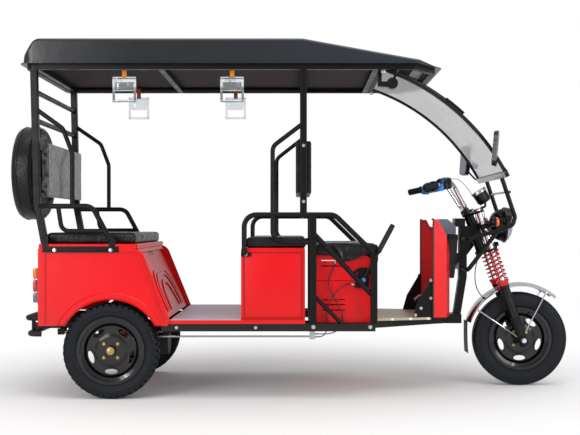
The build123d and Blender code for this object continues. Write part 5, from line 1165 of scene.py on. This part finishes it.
fit_pair(joined(seam_shadows), "panel_seam_shadows", "vehicle", "dark_plastic", edging_and_shadow_line)

# ---- Hand grips ---------------------------------------------------------------------
# A strap of woven tape round the rail carries a moulded clear loop with a beaded bar across its foot.

# Polypropylene tape, its diagonal weave drawn 4 mm apart, orange on the right and rust on the left
tapes = [new_finish(name, light, {
    "kind": "TexWave", "bands_direction": "DIAGONAL", "Scale": 80, "Distortion": 1.0, "relief": (0.5, 0.0008),
    "tint": (light, dark)}, Roughness=0.7) for name, light, dark in (
        ("orange woven tape", "#F29A1A", "#D0700C"), ("rust woven tape", "#B04A14", "#7A2E08"))]
# Moulded acrylic, faintly clouded by handling
clear_acrylic = new_finish("clear moulded acrylic", "#EEF1F0", {
    "Scale": 30, "Detail": 4, "tint": ("#DCE4EA", "#F4F6F6"), "rough": (0.04, 0.16)},
    Roughness=0.08, IOR=1.49, Transmission_Weight=0.88)

strap_pieces, loop_pieces = ([], []), []
for grip_x, side in ((-0.823, -1), (-0.298, -1), (-0.876, 1), (-0.329, 1)):
    y, strap = side * 0.4, strap_pieces[side > 0]
    strap.append(turned([(0.0086, -0.011), (0.0108, -0.011), (0.0108, 0.011), (0.0086, 0.011)],
                        (grip_x, y, 1.601), (1, 0, 0), sides=32, closed=True))
    for fold in (-0.0018, 0.0018):
        strap.append(slab((grip_x - 0.011, y + fold - 0.001, 1.551),
                          (grip_x + 0.011, y + fold + 0.001, 1.5925), 0.0004))
    # Loop: a rounded frame, with a web under its top and a row of beads at the web's foot
    for low, high in (((-0.0575, 1.547), (0.0575, 1.559)), ((-0.0575, 1.435), (0.0575, 1.447)),
                      ((-0.0575, 1.441), (-0.0455, 1.553)), ((0.0455, 1.441), (0.0575, 1.553))):
        loop_pieces.append(slab((grip_x + low[0], y - 0.0058, low[1]),
                                (grip_x + high[0], y + 0.0058, high[1]), 0.0035))
    loop_pieces.append(slab((grip_x - 0.047, y - 0.002, 1.497), (grip_x + 0.047, y + 0.002, 1.549), 0.001))
    for bead in range(11):
        loop_pieces.append(turned([(tip, -0.0038), (0.0035, -0.003), (0.0048, 0), (0.0035, 0.003),
                                   (tip, 0.0038)], (grip_x - 0.04 + bead * 0.008, y, 1.4915), (1, 0, 0),
                                  sides=12))
fit(joined(strap_pieces[0]), "grip_straps_right", "vehicle", "seat_vinyl", tapes[0], "hand_grips")
fit(joined(strap_pieces[1]), "grip_straps_left", "vehicle", "seat_vinyl", tapes[1], "hand_grips")
fit(joined(loop_pieces), "grip_loops", "vehicle", "clear_plastic", clear_acrylic, "hand_grips")

# ---- Tail lamps ---------------------------------------------------------------------
# Grey moulded bases with three prismatic lenses each: amber above, red between, clear below.

# Small prisms behind the face, as in the orange lenses
red_lens = new_finish("red acrylic lens", "#B8060E", {
    "kind": "TexVoronoi", "Scale": 280, "relief": (0.4, 0.001), "tint": ("#9A0408", "#E0141C")},
    Roughness=0.1, Specular_IOR_Level=0.6)
for side_name, side in both:
    y = side * 0.425
    base = slab((-1.2325, y - 0.0395, 0.458), (-1.223, y + 0.0395, 0.632), 0.004)
    screws = [turned([(tip, 0), (0.0042, 0), (0.0042, 0.0015), (tip, 0.0025)], (-1.254, y, z), (-1, 0, 0),
                     sides=16) for z in (0.5115, 0.5735)]
    fit(joined([base, *screws]), f"tail_lamp_base_{side_name}", "vehicle", "grey_plastic", grey_abs,
        "tail_lamps")
    for lens_name, low, high, material in (("amber", 0.577, 0.6275, amber), ("red", 0.5145, 0.5705, red_lens),
                                           ("clear", 0.4625, 0.5085, clear_acrylic)):
        lens = slab((-1.2545, y - 0.036, low), (-1.2315, y + 0.036, high), 0.007)
        fit(lens, f"tail_lens_{lens_name}_{side_name}", "vehicle", "lamp_red", material, "tail_lamps")

# Moulded cases stand in a row, so upright ribs show, under dust
battery_case = new_finish("battery polypropylene", "#2A2C30", {
    "kind": "TexWave", "bands_direction": "Y", "Scale": 12, "relief": (0.5, 0.004)}, {
    "Scale": 22, "Detail": 6, "tint": ("#1C1E22", "#4A4A48")}, Roughness=0.5)
wear(battery_case, "battery_pack")

# ---- Tyres --------------------------------------------------------------------------
# Moulded rubber: the front a ribbed tyre with fine shoulder cuts, the rear ones block-treaded.
# Each lug is moulded once and repeated round the carcass.

# A moulded skin 3 mm coarse, and a blue-grey cast in broad clouds, partly mould-release bloom and partly a
# painted sheen
tyre_rubber = new_finish("tyre rubber", "#0E1014", {"Scale": 300, "Detail": 4, "relief": (0.12, 0.0008)}, {
    "Scale": 11, "Detail": 6, "tint": ("#08090B", "#141A22"), "rough": (0.42, 0.68), "between": (0.3, 0.7)},
    Roughness=0.55, Specular_IOR_Level=0.22)


def lug_ring(centre, radius, shift, size, count, lean, twist, skip=0.0):
    """A ring of lugs: one block at the crown, leaned over the shoulder, twisted, and spun round the axle."""
    bpy.ops.object.select_all(action="DESELECT")
    bpy.ops.mesh.primitive_cube_add(size=1, location=centre + Vector((0, shift, radius - size[2] / 2)))
    lug = bpy.context.object
    bpy.ops.object.mode_set(mode="EDIT")
    bpy.ops.mesh.select_all(action="SELECT")
    bpy.ops.transform.resize(value=size, center_override=lug.location)
    bpy.ops.transform.rotate(value=lean, orient_axis="X", center_override=lug.location)
    bpy.ops.transform.rotate(value=twist, orient_axis="Z", center_override=lug.location)
    bpy.ops.mesh.bevel(offset=0.0014, segments=1, affect="EDGES")
    if skip:
        bpy.ops.transform.rotate(value=skip, orient_axis="Y", center_override=centre)
    bpy.ops.mesh.spin(steps=count - 1, dupli=True, angle=2 * pi * (count - 1) / count, center=centre,
                      axis=(0, 1, 0))
    bpy.ops.object.mode_set(mode="OBJECT")
    bpy.ops.object.transform_apply()
    return lug


def carcass(centre, radius, width, base, rib=None):
    """The tyre under its tread: crown, shoulders, ridged sidewalls, beads, and the inside."""
    seat, flange, wall = 0.1523, 0.165, width / 2
    top = radius - base
    right = [(top, 0.40 * width), (top - 0.004, 0.445 * width),
             (radius - 0.020, 0.482 * width), (radius - 0.023, 0.474 * width),
             (radius - 0.027, 0.488 * width), (radius - 0.040, 0.497 * width),
             (flange + 0.024, 0.485 * width), (flange + 0.018, 0.470 * width),
             (flange + 0.014, 0.478 * width), (flange + 0.006, 0.435 * width), (flange + 0.001, 0.37 * width),
             (seat, 0.36 * width), (seat, 0.2 * width)]
    under = (radius - 0.02, 0.0)
    left = [(r, -w) for r, w in reversed(right)]
    crown = [(top, -0.15 * width), (top, 0.15 * width)]
    if rib:
        crown = [(top, -rib), (radius - 0.0005, -rib), (radius, 0), (radius - 0.0005, rib), (top, rib)]
    return turned([*right, under, *left, *crown], centre, (0, 1, 0), sides=120, closed=True)


front = [carcass(front_axle, 0.243, 0.100, 0.0055, rib=0.008)]
for side in (-1, 1):
    front.append(lug_ring(front_axle, 0.2428, side * 0.0205, (0.0115, 0.019, 0.008), 108, 0, side * 0.35))
    front.append(lug_ring(front_axle, 0.24, side * 0.039, (0.0115, 0.014, 0.011), 108, side * 0.42,
                          side * -0.15))
fit(joined(front), "front_tyre_tread", "front_wheel", "tyre_rubber", tyre_rubber, "front_tyre")

lugs = 44
for side_name, side in both:
    centre = Vector((axle_x, side * 0.434, axle_z))
    rear = [carcass(centre, 0.231, 0.090, 0.0095)]
    for half in (-1, 1):
        rear.append(lug_ring(centre, 0.2308, half * 0.0105, (0.019, 0.017, 0.012), lugs, 0, half * 0.5))
        rear.append(lug_ring(centre, 0.2283, half * 0.0325, (0.022, 0.021, 0.014), lugs, half * 0.3,
                             half * -0.22, skip=pi / lugs))
        rear.append(lug_ring(centre, 0.2215, half * 0.0393, (0.014, 0.0105, 0.021), lugs, half * -0.06, 0,
                             skip=pi / lugs))
    fit(joined(rear), f"rear_tyre_tread_{side_name}", f"rear_wheel_{side_name}", "tyre_rubber", tyre_rubber,
        f"rear_tyre_{side_name}")

# ---- Wheels -------------------------------------------------------------------------
# Pressed steel discs and rolled rims in glossy black enamel, held by gold-zinc cone nuts.

# Sprayed enamel with a slight peel, filmed by brake dust in clouds
wheel_enamel = new_finish("black wheel enamel", "#070709",
                          {"Scale": 260, "Detail": 2, "relief": (0.1, 0.001)},
                          {"Scale": 24, "Detail": 6, "rough": (0.1, 0.3), "between": (0.35, 0.75)},
                          Roughness=0.16, Specular_IOR_Level=0.3, Coat_Weight=0.4, Coat_Roughness=0.05)
wear(wheel_enamel, "front_rim", "rear_rim_right", "rear_rim_left")


def wheel_nuts(centre, out, stud_radius, hub_end):
    """Four cone nuts on their studs, and the castle nut and washer at the hub."""
    made = []
    for turn in range(4):
        at = radians(45 + 90 * turn)
        seat = centre + Vector((stud_radius * cos(at), out * 0.014, stud_radius * sin(at)))
        made.append(turned([(0.0115, 0), (0.0115, 0.002), (0.0095, 0.003), (0.0095, 0.0145), (0.0078, 0.016),
                            (0.0055, 0.016), (0.0055, 0.021), (0.0045, 0.022)], seat, (0, out, 0), sides=6))
    hub = centre + Vector((0, out * hub_end, 0))
    made.append(turned([(0.0185, 0), (0.0185, 0.003), (0.0145, 0.0035), (0.0145, 0.014), (0.013, 0.015),
                        (0.009, 0.015), (0.009, 0.018), (0.0075, 0.019)], hub, (0, out, 0), sides=24))
    return joined(made)


stud_circle = 0.047
for side_name, side in both:
    nuts = wheel_nuts(Vector((axle_x, side * 0.434, axle_z)), side, stud_circle, 0.0345)
    fit(nuts, f"rear_wheel_nuts_{side_name}", f"rear_wheel_{side_name}", "bright_steel", zinc_passivate)
nuts = wheel_nuts(front_axle, -1, stud_circle, 0.0565)
fit(nuts, "front_wheel_nuts", "front_wheel", "bright_steel", zinc_passivate)
